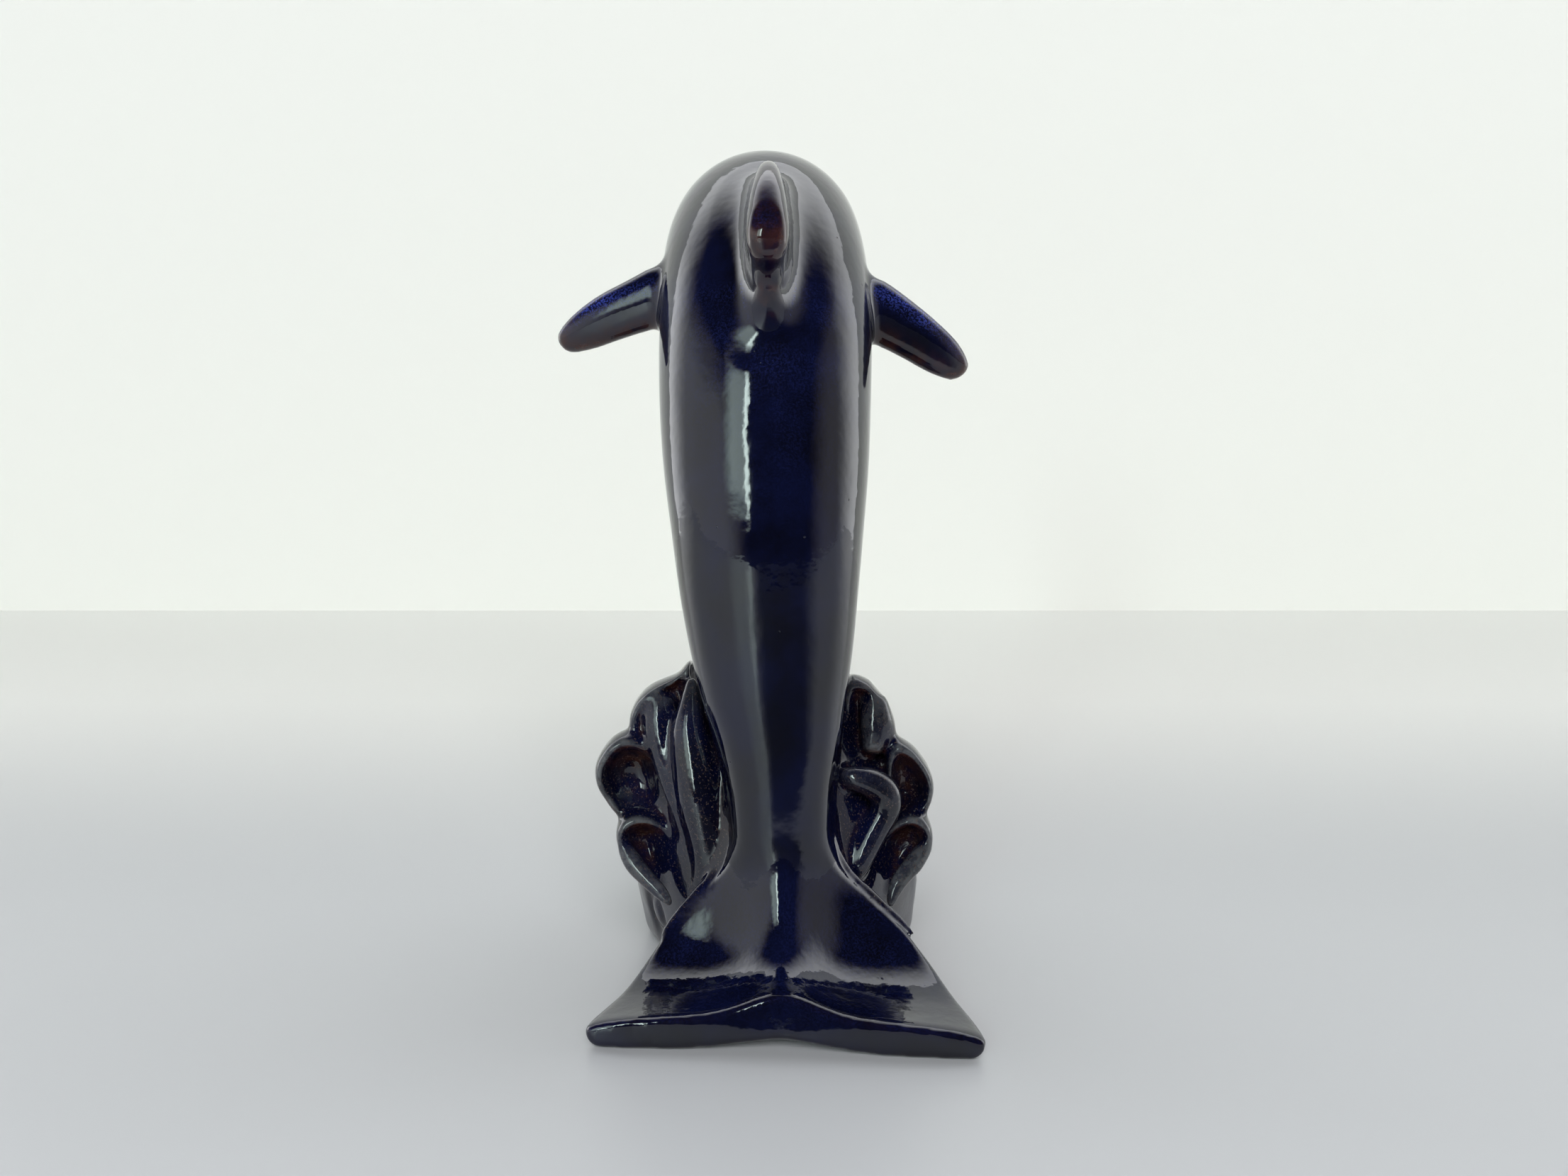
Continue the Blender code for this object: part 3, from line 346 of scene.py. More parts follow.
def smooth_rows(rows, steps):
    """Rows in between the given ones, on a smooth curve through them all."""
    rows = [tuple(float(value) for value in row) for row in rows]
    knots = [0.0]
    for before, after in zip(rows, rows[1:]):
        knots.append(knots[-1] + max(math.dist(before[:3], after[:3]), 1e-6) ** 0.5)
    slopes = []
    for index in range(len(rows)):
        low = max(index - 1, 0)
        high = min(index + 1, len(rows) - 1)
        span = knots[high] - knots[low]
        slopes.append([(b - a) / span for a, b in zip(rows[low], rows[high])])
    result = []
    for index in range(len(rows) - 1):
        width = knots[index + 1] - knots[index]
        for step in range(steps):
            t = step / steps
            h00 = 2 * t**3 - 3 * t**2 + 1
            h10 = t**3 - 2 * t**2 + t
            h01 = -2 * t**3 + 3 * t**2
            h11 = t**3 - t**2
            result.append(
                [
                    h00 * a + h10 * width * sa + h01 * b + h11 * width * sb
                    for a, b, sa, sb in zip(rows[index], rows[index + 1], slopes[index], slopes[index + 1])
                ]
            )
    result.append(list(rows[-1]))
    return result


def spine_run(rows, index):
    """Which way the spine heads at a station, as (y, z); it leaves the stock straight up."""
    if index == 0:
        return Vector((0.0, 1.0))
    before = rows[index - 1]
    after = rows[min(index + 1, len(rows) - 1)]
    return Vector((after[0] - before[0], after[1] - before[1])).normalized()


def at_place(rows, place):
    """The row of values at a place between two stations."""
    index = min(int(place), len(rows) - 2)
    return [a + (b - a) * (place - index) for a, b in zip(rows[index], rows[index + 1])]


def on_trunk(rows, place, angle):
    """A point of the trunk's surface at a place between two stations.

    The angle turns from the right side toward the back, or toward the belly where it is negative.
    """
    index = min(int(place), len(rows) - 2)
    y, z, lean, half, back, belly = at_place(rows, place)
    run = spine_run(rows, index).lerp(spine_run(rows, index + 1), place - index).normalized()
    depth = (back if math.sin(angle) > 0 else belly) * math.sin(angle)
    return Vector((lean + half * math.cos(angle), y - run.y * depth, z + run.x * depth))


def from_tip(rows, distance):
    """The place between two stations that lies a distance back from the tip of the beak along the spine."""
    for index in range(len(rows) - 1, 0, -1):
        step = math.dist(rows[index][:2], rows[index - 1][:2])
        if step >= distance:
            return index - distance / step
        distance -= step
    return 0.0


def trunk_rings(rows, sides):
    """Oval sections square to the spine, deeper or shallower toward the back and the belly."""
    angles = [2 * math.pi * side / sides for side in range(sides)]
    return [[on_trunk(rows, index, angle) for angle in angles] for index in range(len(rows))]


def fluke_rows(stock):
    """Fluke stations in real sizes, from the trunk's first station down to the trailing edge."""
    y, z, lean, half, back, belly = stock
    under_reach = FLUKE_REACH + back + belly - FLUKE_EDGE
    rows = []
    for upper, upper_height, lower, lower_height, left, right, wing in FLUKES:
        rows.append(
            (
                y - back - FLUKE_REACH * upper,
                z * upper_height,
                y + belly - under_reach * lower,
                z * lower_height,
                half + (FLUKE_LEFT - half) * left,
                half + (FLUKE_RIGHT - half) * right,
                FLUKE_THICKNESS / 2 * wing * WING_SHARE,
            )
        )
    return rows


def fluke_rings(rows, sides, lean):
    """Sections that open from the round tail stock into two thin wings with a ridge between them."""
    rings = []
    for index, row in enumerate(rows):
        upper = Vector((row[0], row[1]))
        lower = Vector((row[2], row[3]))
        left, right, wing = row[4:7]
        centre = (upper + lower) / 2
        rise = upper - lower
        half = rise.length / 2
        rise.normalize()
        grown = index / (len(rows) - 1)
        wing = min(wing, half)
        ring = []
        for side in range(sides):
            angle = 2 * math.pi * side / sides
            along = math.cos(angle)
            reach = right if along > 0 else left
            across = reach * along
            rim = abs(math.sin(angle))
            swell = (half - wing) * math.exp(-((across / RIDGE_WIDTH) ** 2))
            depth = (wing + swell) * rim if grown > 0 else half * rim
            if math.sin(angle) < 0:
                depth = -(depth * (1.0 - grown) + half * grown * rim**0.6)
            notch = NOTCH_DEPTH * grown**3 * math.exp(-((across / NOTCH_WIDTH) ** 2))
            turn = -across * math.tan(FLUKE_TURN) * grown
            y = centre.x + rise.x * depth + notch + turn
            z = centre.y + rise.y * depth
            ring.append((lean + across, y, max(z, notch * 1.1)))
        rings.append(ring)
    return rings


def fin_rings(rows, sides, anchor):
    """Blunt sections of the dorsal fin, a little fuller behind, placed from a point of the back."""
    rings = []
    for lead_y, lead_z, trail_y, trail_z, half in rows:
        centre = Vector(((lead_y + trail_y) / 2, (lead_z + trail_z) / 2))
        chord = Vector((lead_y, lead_z)) - centre
        ring = []
        for side in range(sides):
            angle = 2 * math.pi * side / sides
            along = math.cos(angle)
            fullness = 1.0 - FIN_FULLNESS * along
            aside = math.copysign(abs(math.sin(angle)) ** FIN_BLUNTNESS, math.sin(angle))
            y = centre.x + chord.x * along
            z = centre.y + chord.y * along
            ring.append(anchor + Vector((FIN_LEAN + half * fullness * aside, y, z)))
        rings.append(ring)
    return rings


def flipper_rings(rows, sides, anchor, hand):
    """Oval sections; the chord stands near upright at the root and turns as the flipper droops."""
    rings = []
    for outward, forward, up, chord, thick, lean in rows:
        centre = anchor + Vector((hand * outward, forward, up))
        tilt = math.radians(lean) * hand
        upright = Vector((math.sin(tilt), FLIPPER_RAKE, math.cos(tilt))).normalized()
        across = Vector((0.0, 1.0, -FLIPPER_RAKE)).normalized()
        ring = []
        for side in range(sides):
            angle = 2 * math.pi * side / sides
            ring.append(centre + upright * chord * math.cos(angle) + across * thick * math.sin(angle))
        rings.append(ring)
    return rings


def on_swell(row, angle, proud=0.0):
    """A point of the swell's skin at one level, or a height above it; fluted where the water runs up."""
    z, left, right, near, far, flute = row
    across = math.cos(angle)
    forth = math.sin(angle)
    middle = near + WAVE_WIDEST * (far - near)
    half = right if across > 0 else left
    x = WAVE_MIDDLE + half * math.copysign(abs(across) ** WAVE_FAR_POWER, across)
    if forth > 0:
        y = middle + (far - middle) * forth**WAVE_FAR_POWER
    else:
        y = middle - (middle - near) * abs(forth) ** WAVE_NEAR_POWER
    swirl = WAVE_SWIRL * z * WAVE_FLUTES / 2
    wobble = flute * math.cos(WAVE_FLUTES * angle + swirl) * max(0.0, FLUTES_FROM + forth) ** 0.5
    return Vector((x + across * (wobble + proud), y + forth * (wobble + proud), z))


def wave_rings(rows, sides):
    """Level sections of the swell."""
    return [[on_swell(row, 2 * math.pi * side / sides) for side in range(sides)] for row in rows]


def ridge_path(rows, ridge, hand):
    """Centres of a ridge on the swell, as x, y, z, radius."""
    path = []
    for turn, z, radius, proud in ridge:
        index = max(place for place in range(len(rows) - 1) if rows[place][0] <= z)
        share = (z - rows[index][0]) / (rows[index + 1][0] - rows[index][0])
        angle = math.radians(turn if hand > 0 else 180 - turn)
        level = [*at_place(rows, index + share)[:5], 0.0]
        path.append((*on_swell(level, angle, proud - radius), radius))
    return path


def crest_rings(depths, outline, sides):
    """A cupped crest: from the bottom of its cup out over a rolled rim and back behind it.

    The rim stands highest on the side away from the trunk and sinks toward it, so the cup runs out there.
    """
    centre_y, cup, behind = depths
    closed = outline + outline[:1]
    count = len(outline)
    middle = Vector((sum(p[0] for p in outline) / count, sum(p[1] for p in outline) / count))
    loop = smooth_rows([(x, z, 0.0) for x, z in [outline[-1]] + closed + [outline[1]]], OUTLINE_STEPS)
    once_round = slice(OUTLINE_STEPS, OUTLINE_STEPS * (count + 1))
    loop = [Vector(point[:2]) - middle for point in loop[once_round]]
    outward = Vector((math.copysign(0.8, middle.x), 0.6))
    edge = []
    for side in range(sides):
        angle = 2 * math.pi * side / sides
        heading = Vector((math.cos(angle), math.sin(angle)))
        best = max(loop, key=lambda point: point.normalized().dot(heading))
        rise = 1.0 - CREST_OPENING * (0.5 - 0.5 * heading.dot(outward))
        edge.append((heading * best.length, CREST_RIM * rise))
    # Share of the outline, how far it is pushed back, and share of the rim that it is rolled back
    profile = [
        (0.10, cup, 0.0),
        (0.34, cup * 0.86, 0.0),
        (0.54, cup * 0.45, 0.0),
        (0.70, 0.0, -0.35),
        (0.82, 0.0, -0.95),
        (0.95, 0.0, -0.55),
        (1.0, 0.0, 0.5),
        (0.97, 0.0, 1.9),
        (0.88, behind * 0.48, 0.0),
        (0.68, behind * 0.74, 0.0),
        (0.36, behind * 0.94, 0.0),
        (0.10, behind, 0.0),
    ]
    inward = -math.copysign(CREST_TRAIL[0], middle.x)
    rings = []
    for share, push, roll in profile:
        trail = max(push / behind, 0.0) ** 2
        at_x = middle.x + inward * trail
        at_z = middle.y + CREST_TRAIL[1] * trail
        ring = []
        for point, rim in edge:
            ring.append((at_x + point.x * share, centre_y + push + rim * roll, at_z + point.y * share))
        rings.append(ring)
    return rings


def tube_rings(rows, sides):
    """Round sections along a path of x, y, z, radius."""
    rings = []
    for index, row in enumerate(rows):
        centre = Vector(row[:3])
        ahead = Vector(rows[min(index + 1, len(rows) - 1)][:3])
        behind = Vector(rows[max(index - 1, 0)][:3])
        run = (ahead - behind).normalized()
        across = run.cross(Vector((0.0, 1.0, 0.0))).normalized()
        forth = across.cross(run).normalized()
        ring = []
        for side in range(sides):
            angle = 2 * math.pi * side / sides
            ring.append(centre + (across * math.cos(angle) + forth * math.sin(angle)) * row[3])
        rings.append(ring)
    return rings


def soup(rings):
    """Corners and triangles of a closed skin through rings of equal count, with a fan on each end."""
    count = len(rings[0])
    verts = [tuple(point) for ring in rings for point in ring]
    tris = []
    for ring in range(len(rings) - 1):
        for side in range(count):
            a = ring * count + side
            b = ring * count + (side + 1) % count
            tris += [(a, b, b + count), (a, b + count, a + count)]
    for ring, flip in ((0, True), (len(rings) - 1, False)):
        middle = sum((Vector(point) for point in rings[ring]), Vector()) / count
        verts.append(tuple(middle))
        for side in range(count):
            a = ring * count + side
            b = ring * count + (side + 1) % count
            tris.append((b, a, len(verts) - 1) if flip else (a, b, len(verts) - 1))
    return np.array(verts), np.array(tris)


def rounded_profile(rings, steps):
    """More rings on a smooth curve through each side of the given ones."""
    count = len(rings[0])
    sides = [smooth_rows([tuple(ring[side]) for ring in rings], steps) for side in range(count)]
    return [[Vector(sides[side][row]) for side in range(count)] for row in range(len(sides[0]))]


def round_ring(x, y, z, radius, sides):
    """A level circle."""
    turns = [2 * math.pi * side / sides for side in range(sides)]
    return [Vector((x + radius * math.cos(turn), y + radius * math.sin(turn), z)) for turn in turns]


def eyeball(centre):
    """A bead flattened against the side of the head."""
    rings = []
    for level in range(1, EYE_LEVELS):
        tall = math.pi * level / EYE_LEVELS
        ring = []
        for side in range(EYE_SIDES):
            angle = 2 * math.pi * side / EYE_SIDES
            r = EYE_RADIUS * math.sin(tall)
            at = (EYE_RADIUS * EYE_BULGE * math.cos(tall), r * math.cos(angle), r * math.sin(angle))
            ring.append(centre + Vector(at))
        rings.append(ring)
    return rings


coarse = smooth_rows(TRUNK, 2)
spine = smooth_rows(TRUNK, SPINE_STEPS)
fluke_spread = smooth_rows(fluke_rows(TRUNK[0]), STEPS)
forms = []


def form(node, rings):
    """Add a closed form to a node."""
    forms.append((node, *soup(rings)))


form("dolphin_body", trunk_rings(spine, TRUNK_SIDES))
form("tail_flukes", fluke_rings(fluke_spread, FLUKE_SIDES, TRUNK[0][2]))
fin_anchor = on_trunk(coarse, from_tip(coarse, FIN_FROM_TIP), math.pi / 2)
form("dorsal_fin", fin_rings(smooth_rows(FIN, STEPS), FIN_SIDES, fin_anchor))
for name, rows, hand in (("left_flipper", LEFT_FLIPPER, -1), ("right_flipper", RIGHT_FLIPPER, 1)):
    y, z, lean, half = at_place(coarse, from_tip(coarse, FLIPPER_FROM_TIP))[:4]
    anchor = Vector((lean + hand * half, y, z))
    form(name, flipper_rings(smooth_rows(rows, STEPS), FLIPPER_SIDES, anchor, hand))
foot = WAVE[0]
inner = (foot[1] - FOOT_RING, foot[2] - FOOT_RING, foot[3] + 2.0 * FOOT_RING, foot[4] - FOOT_RING, 0.0)
underside = [
    round_ring(*VENT_PLACE, VENT_DEPTH, VENT_RADIUS, BASE_SIDES),
    round_ring(*VENT_PLACE, FOOT_RECESS, VENT_RADIUS, BASE_SIDES),
    *wave_rings([(FOOT_RECESS, *inner), (0.0, *inner)], BASE_SIDES),
]
form("wave_base", underside + wave_rings(smooth_rows(WAVE, WAVE_STEPS), BASE_SIDES))
for name, rows in ROLLS.items():
    form(name, tube_rings(smooth_rows(rows, STEPS), TUBE_SIDES))
for name, (depths, outline) in CRESTS.items():
    form(name, rounded_profile(crest_rings(depths, outline, CREST_SIDES), CREST_STEPS))
    paths = [ridge_path(WAVE, RIDGES[name], outline[0][0])]
    if name in FOLDS:
        paths.append(FOLDS[name])
    for path in paths:
        form(name, tube_rings(smooth_rows(path, STEPS), TUBE_SIDES))
for turn in (EYE_TURN, math.pi - EYE_TURN):
    form("dolphin_body", eyeball(on_trunk(coarse, from_tip(coarse, EYE_FROM_TIP), turn)))

# The beads run down both sides of the stock and on along the leading edges of the flukes
for hand, column in ((-1, 4), (1, 5)):
    lip = []
    for place, radius in LIP_STOCK:
        y, z, lean, half = at_place(coarse, place)[:4]
        lip.append((lean + hand * (half + LIP_OUT), y + LIP_BACK + LIP_STOCK_BACK, z, radius))
    for place, radius in LIP_FLUKES:
        row = fluke_spread[place]
        y = (row[0] + row[2]) / 2 + LIP_BACK
        z = (row[1] + row[3]) / 2
        lip.append((TRUNK[0][2] + hand * (row[column] + LIP_OUT), y, z + LIP_FLUKE_UP, radius))
    form("wave_base", tube_rings(smooth_rows(lip, WAVE_STEPS), LIP_SIDES))

# One skin over all the forms
names = sorted({node for node, corners, tris in forms})
counts = np.cumsum([0] + [len(corners) for node, corners, tris in forms])
all_corners = np.concatenate([corners for node, corners, tris in forms])
all_tris = np.concatenate([tris + start for (node, corners, tris), start in zip(forms, counts)])
labels = np.concatenate([np.full(len(tris), names.index(node)) for node, corners, tris in forms])


def tree_of(chosen):
    """A search tree over the drawn triangles of some nodes."""
    tris = [tuple(tri) for tri in all_tris[chosen].tolist()]
    return BVHTree.FromPolygons([tuple(corner) for corner in all_corners.tolist()], tris)


def read(items, key, width, kind):
    """A value or a row of values of every item of a mesh."""
    values = np.empty(len(items) * width, dtype=kind)
    items.foreach_get(key, values)
    return values.reshape(-1, width)


VOXEL = FINEST_VOXEL
FINENESS = (FINEST_VOXEL / VOXEL) ** 2
mesh = bpy.data.meshes.new("skin")
mesh.from_pydata((all_corners * MM).tolist(), [], all_tris.tolist())
build = bmesh.new()
build.from_mesh(mesh)
bmesh.ops.recalc_face_normals(build, faces=build.faces)
build.to_mesh(mesh)
build.free()
skin = bpy.data.objects.new("skin", mesh)
bpy.context.scene.collection.objects.link(skin)
remesh = skin.modifiers.new("slip", "REMESH")
remesh.mode = "VOXEL"
remesh.voxel_size = VOXEL * MM
bpy.context.view_layer.update()
fused = bpy.data.meshes.new_from_object(skin.evaluated_get(bpy.context.evaluated_depsgraph_get()))
bpy.data.objects.remove(skin)
points = read(fused.vertices, "co", 3, float) / MM
edges = read(fused.edges, "vertices", 2, np.int64)
quads = read(fused.loops, "vertex_index", 1, np.int64).reshape(-1, 4)
bpy.data.meshes.remove(fused)


def outer_shell():
    """Which corners belong to the largest shell; the others line hollows shut in between the forms."""
    both = np.concatenate([edges, edges[:, ::-1]])
    both = both[np.argsort(both[:, 0], kind="stable")]
    starts = np.searchsorted(both[:, 0], np.arange(len(points) + 1)).tolist()
    ends = both[:, 1].tolist()
    shell = [-1] * len(points)
    sizes = []
    for seed in range(len(points)):
        if shell[seed] >= 0:
            continue
        waiting = [seed]
        shell[seed] = len(sizes)
        size = 0
        while waiting:
            corner = waiting.pop()
            size += 1
            for other in ends[starts[corner] : starts[corner + 1]]:
                if shell[other] < 0:
                    shell[other] = len(sizes)
                    waiting.append(other)
        sizes.append(size)
    return np.array(shell) == int(np.argmax(sizes))


kept = outer_shell()
renumbered = np.cumsum(kept) - 1
points = points[kept]
edges = renumbered[edges[kept[edges[:, 0]]]]
quads = renumbered[quads[kept[quads[:, 0]]]]
degree = np.bincount(edges.ravel(), minlength=len(points)).astype(float)


def around(values):
    """The mean of each corner's neighbours."""
    flat = values.reshape(len(points), -1)
    total = np.empty_like(flat)
    for column in range(flat.shape[1]):
        total[:, column] = np.bincount(edges[:, 0], flat[edges[:, 1], column], len(points))
        total[:, column] += np.bincount(edges[:, 1], flat[edges[:, 0], column], len(points))
    return (total / degree[:, None]).reshape(values.shape)


def soften(rounds, share=None):
    """Draw each corner toward its neighbours, everywhere or by a share of its own.

    A coarser skin takes fewer rounds for the same reach.
    """
    global points
    for turn in range(max(1, int(rounds * FINENESS))):
        pull = 0.5 * (around(points) - points)
        points = points + (pull if share is None else pull * share[:, None])


def corner_normals():
    """Smooth normals at the corners, weighted by the area of the faces around."""
    a, b, c, d = (points[quads[:, corner]] for corner in range(4))
    crossed = np.cross(c - a, d - b)
    normals = np.zeros_like(points)
    for axis in range(3):
        for corner in range(4):
            normals[:, axis] += np.bincount(quads[:, corner], crossed[:, axis], len(points))
    return normals / np.maximum(np.linalg.norm(normals, axis=1, keepdims=True), 1e-12)


def distance_to(tree, chosen):
    """How far the chosen corners lie from a drawn skin."""
    return np.array([tree.find_nearest(Vector(point))[3] for point in points[chosen]])


soften(FIRST_ROUNDS)

# Fillets: glaze and slip fill the roots of the fin and the flippers
BODY_TREE = tree_of(labels == names.index("dolphin_body"))
for name, (reach, rounds) in FILLETS.items():
    own = labels == names.index(name)
    corners = all_corners[all_tris[own]].reshape(-1, 3)
    low, high = corners.min(axis=0) - reach, corners.max(axis=0) + reach
    near = np.flatnonzero(((points > low) & (points < high)).all(axis=1))
    gap = np.maximum(distance_to(tree_of(own), near), distance_to(BODY_TREE, near))
    share = np.zeros(len(points))
    share[near] = np.clip(FILLET_CORE * (1.0 - gap / reach), 0.0, 1.0)
    soften(rounds, share)

# Each corner belongs to the nearest drawn form, with the borders between the nodes evened out
ALL_TREE = tree_of(labels >= 0)
nearest_label = np.array([labels[ALL_TREE.find_nearest(Vector(point))[2]] for point in points])
votes = np.eye(len(names))[nearest_label]
for turn in range(BORDER_ROUNDS):
    votes = around(votes)
owner = votes[quads].sum(axis=1).argmax(axis=1)
of_wave = [name.endswith(("crest", "roll", "curl", "base")) for name in names]
soften(WAVE_ROUNDS, votes[:, of_wave].sum(axis=1))


def dent(depth_at, chosen):
    """Press the chosen corners inward along their normals."""
    global points
    depth = np.zeros(len(points))
    depth[chosen] = depth_at(points[chosen])
    points = points - corner_normals() * depth[:, None]


def along_path(path, width, depth):
    """The depth of a groove that follows a path, from how far each point is from it."""
    path = np.array([tuple(point) for point in path])

    def depth_at(values):
        nearest = np.full(len(values), 1e9)
        for a, b in zip(path, path[1:]):
            step = b - a
            share = np.clip(((values - a) @ step) / (step @ step), 0.0, 1.0)
            nearest = np.minimum(nearest, np.linalg.norm(values - a - share[:, None] * step, axis=1))
        return depth * np.exp(-((nearest / width) ** 2))

    return depth_at


# Face: the mouth's two grooves and the blowhole
for turn in (MOUTH_TURN, math.pi - MOUTH_TURN):
    places = [from_tip(coarse, MOUTH_LENGTH * (10 - step) / 10) for step in range(11)]
    lip = [on_trunk(coarse, place, turn) for place in places]
    dent(along_path(lip, MOUTH_RADIUS * MOUTH_SPREAD, MOUTH_RADIUS), points[:, 1] > HEAD_FROM_Y)
blowhole = np.array(on_trunk(coarse, from_tip(coarse, BLOWHOLE_FROM_TIP), math.pi / 2))


def blowhole_depth(values):
    """A slit across the head, bent like a crescent."""
    away = values - blowhole
    across = away[:, 0] / (BLOWHOLE_WIDTH / 2)
    along = (away[:, 1] + BLOWHOLE_BEND * away[:, 0] ** 2) / (BLOWHOLE_WIDTH * BLOWHOLE_SLIT)
    return BLOWHOLE_DEPTH * np.exp(-(across**2) - along**2)


dent(blowhole_depth, points[:, 2] > CROWN_FROM_Z)


def oval_depth(values):
    """A leaf-shaped ring pressed into the left flank of the wave."""
    x, y, z, length, height = FLANK_OVAL
    out = np.hypot((values[:, 1] - y) / length, (values[:, 2] - z) / height)
    return RING_DEPTH * np.exp(-(((out - RING_AT) / RING_WIDTH) ** 2))


dent(oval_depth, points[:, 0] < LEFT_FLANK_TO_X)
points[:, 2] = np.maximum(points[:, 2], 0.0)

# Relief: how far in mm a much softer skin would stand out over this one, below 0 on ridges, above in hollows
normals = corner_normals()
shape = points
soften(RELIEF_ROUNDS)
relief = ((points - shape) * normals).sum(axis=1)
points = shape
print("skin", len(points), "corners")


# The Mix node's sockets for colours
MIX_A = 6
MIX_B = 7
MIX_RESULT = 2


class Network:
    """A node tree, with a short call for each kind of node that the glazes, the stage and the room need."""

    def __init__(self, tree):
        self.tree = tree

    def node(self, kind):
        return self.tree.nodes.new(kind)

    def join(self, source, target):
        self.tree.links.new(source, target)

    def split(self, vector):
        """The x, y and z of a vector."""
        node = self.node("ShaderNodeSeparateXYZ")
        self.join(vector, node.inputs[0])
        return [node.outputs[axis] for axis in "XYZ"]

    def between(self, value, low, high, out_low=0.0, out_high=1.0):
        """A smooth step from one output to the other while the value goes from low to high."""
        node = self.node("ShaderNodeMapRange")
        node.interpolation_type = "SMOOTHSTEP"
        limits = {"From Min": low, "From Max": high, "To Min": out_low, "To Max": out_high}
        for key, number in limits.items():
            node.inputs[key].default_value = number
        self.join(value, node.inputs["Value"])
        return node.outputs["Result"]

    def math(self, operation, first, second):
        node = self.node("ShaderNodeMath")
        node.operation = operation
        for value, target in ((first, node.inputs[0]), (second, node.inputs[1])):
            if isinstance(value, float):
                target.default_value = value
            else:
                self.join(value, target)
        return node.outputs[0]

    def times(self, *values):
        """The product of several values."""
        result = values[0]
        for value in values[1:]:
            result = self.math("MULTIPLY", result, value)
        return result

    def mix(self, share, first, second):
        """The first colour where the share is 0 and the second where it is 1; each is a link or plain."""
        node = self.node("ShaderNodeMix")
        node.data_type = "RGBA"
        self.join(share, node.inputs["Factor"])
        for value, target in ((first, node.inputs[MIX_A]), (second, node.inputs[MIX_B])):
            if isinstance(value, tuple):
                target.default_value = (*value, 1.0)
            else:
                self.join(value, target)
        return node.outputs[MIX_RESULT]

    def fade(self, value, first, second, end=1.0):
        """From the first colour to the second while the value goes from 0 to the end."""
        node = self.node("ShaderNodeValToRGB")
        start, stop = node.color_ramp.elements
        start.color = (*first, 1.0)
        stop.color = (*second, 1.0)
        stop.position = end
        self.join(value, node.inputs["Fac"])
        return node.outputs["Color"]


# Colours of the glaze, its gloss, and the heights in mm between which the back loses its specks
DEEP = (0.0012, 0.0016, 0.0065)
NAVY = (0.0022, 0.0036, 0.020)
COBALT = (0.050, 0.075, 0.40)
RUST = (0.085, 0.026, 0.010)
UMBER = (0.030, 0.013, 0.008)
# Slate grey is a painted reflection: the pale room seen on the rims of the wave
RIM_REFLECTION_GREY = (0.105, 0.112, 0.118)
GRIT = (0.085, 0.060, 0.050)
GLAZE_IOR = 1.62
BACK_TOP = 143.0
BACK_SIDE = 136.0


class Glaze(Network):
    """The nodes of a glossy pottery glaze, in the figurine's own coordinates."""

    def __init__(self, name):
        self.material = bpy.data.materials.new(name)
        self.material.use_nodes = True
        super().__init__(self.material.node_tree)
        self.shader = self.tree.nodes["Principled BSDF"]
        self.place = self.node("ShaderNodeTexCoord").outputs["Object"]
        self.below_back = self.between(self.split(self.place)[2], BACK_TOP * MM, BACK_SIDE * MM)
        attribute = self.node("ShaderNodeAttribute")
        attribute.attribute_name = "relief"
        self.relief = attribute.outputs["Fac"]
        self.up = self.split(self.node("ShaderNodeNewGeometry").outputs["Normal"])[2]

    def noise(self, grain_mm, detail=2.0, roughness=0.5):
        """Soft mottling with grains of about this size."""
        node = self.node("ShaderNodeTexNoise")
        node.inputs["Scale"].default_value = 1.0 / (grain_mm * MM)
        node.inputs["Detail"].default_value = detail
        node.inputs["Roughness"].default_value = roughness
        self.join(self.place, node.inputs["Vector"])
        return node.outputs["Fac"]

    def cells(self, grain_mm):
        """Distance to scattered points about this far apart."""
        node = self.node("ShaderNodeTexVoronoi")
        node.inputs["Scale"].default_value = 1.0 / (grain_mm * MM)
        self.join(self.place, node.inputs["Vector"])
        return node.outputs["Distance"]

    def bump(self, height, distance_mm, below=None):
        node = self.node("ShaderNodeBump")
        node.inputs["Distance"].default_value = distance_mm * MM
        self.join(height, node.inputs["Height"])
        if below is not None:
            self.join(below, node.inputs["Normal"])
        return node.outputs["Normal"]


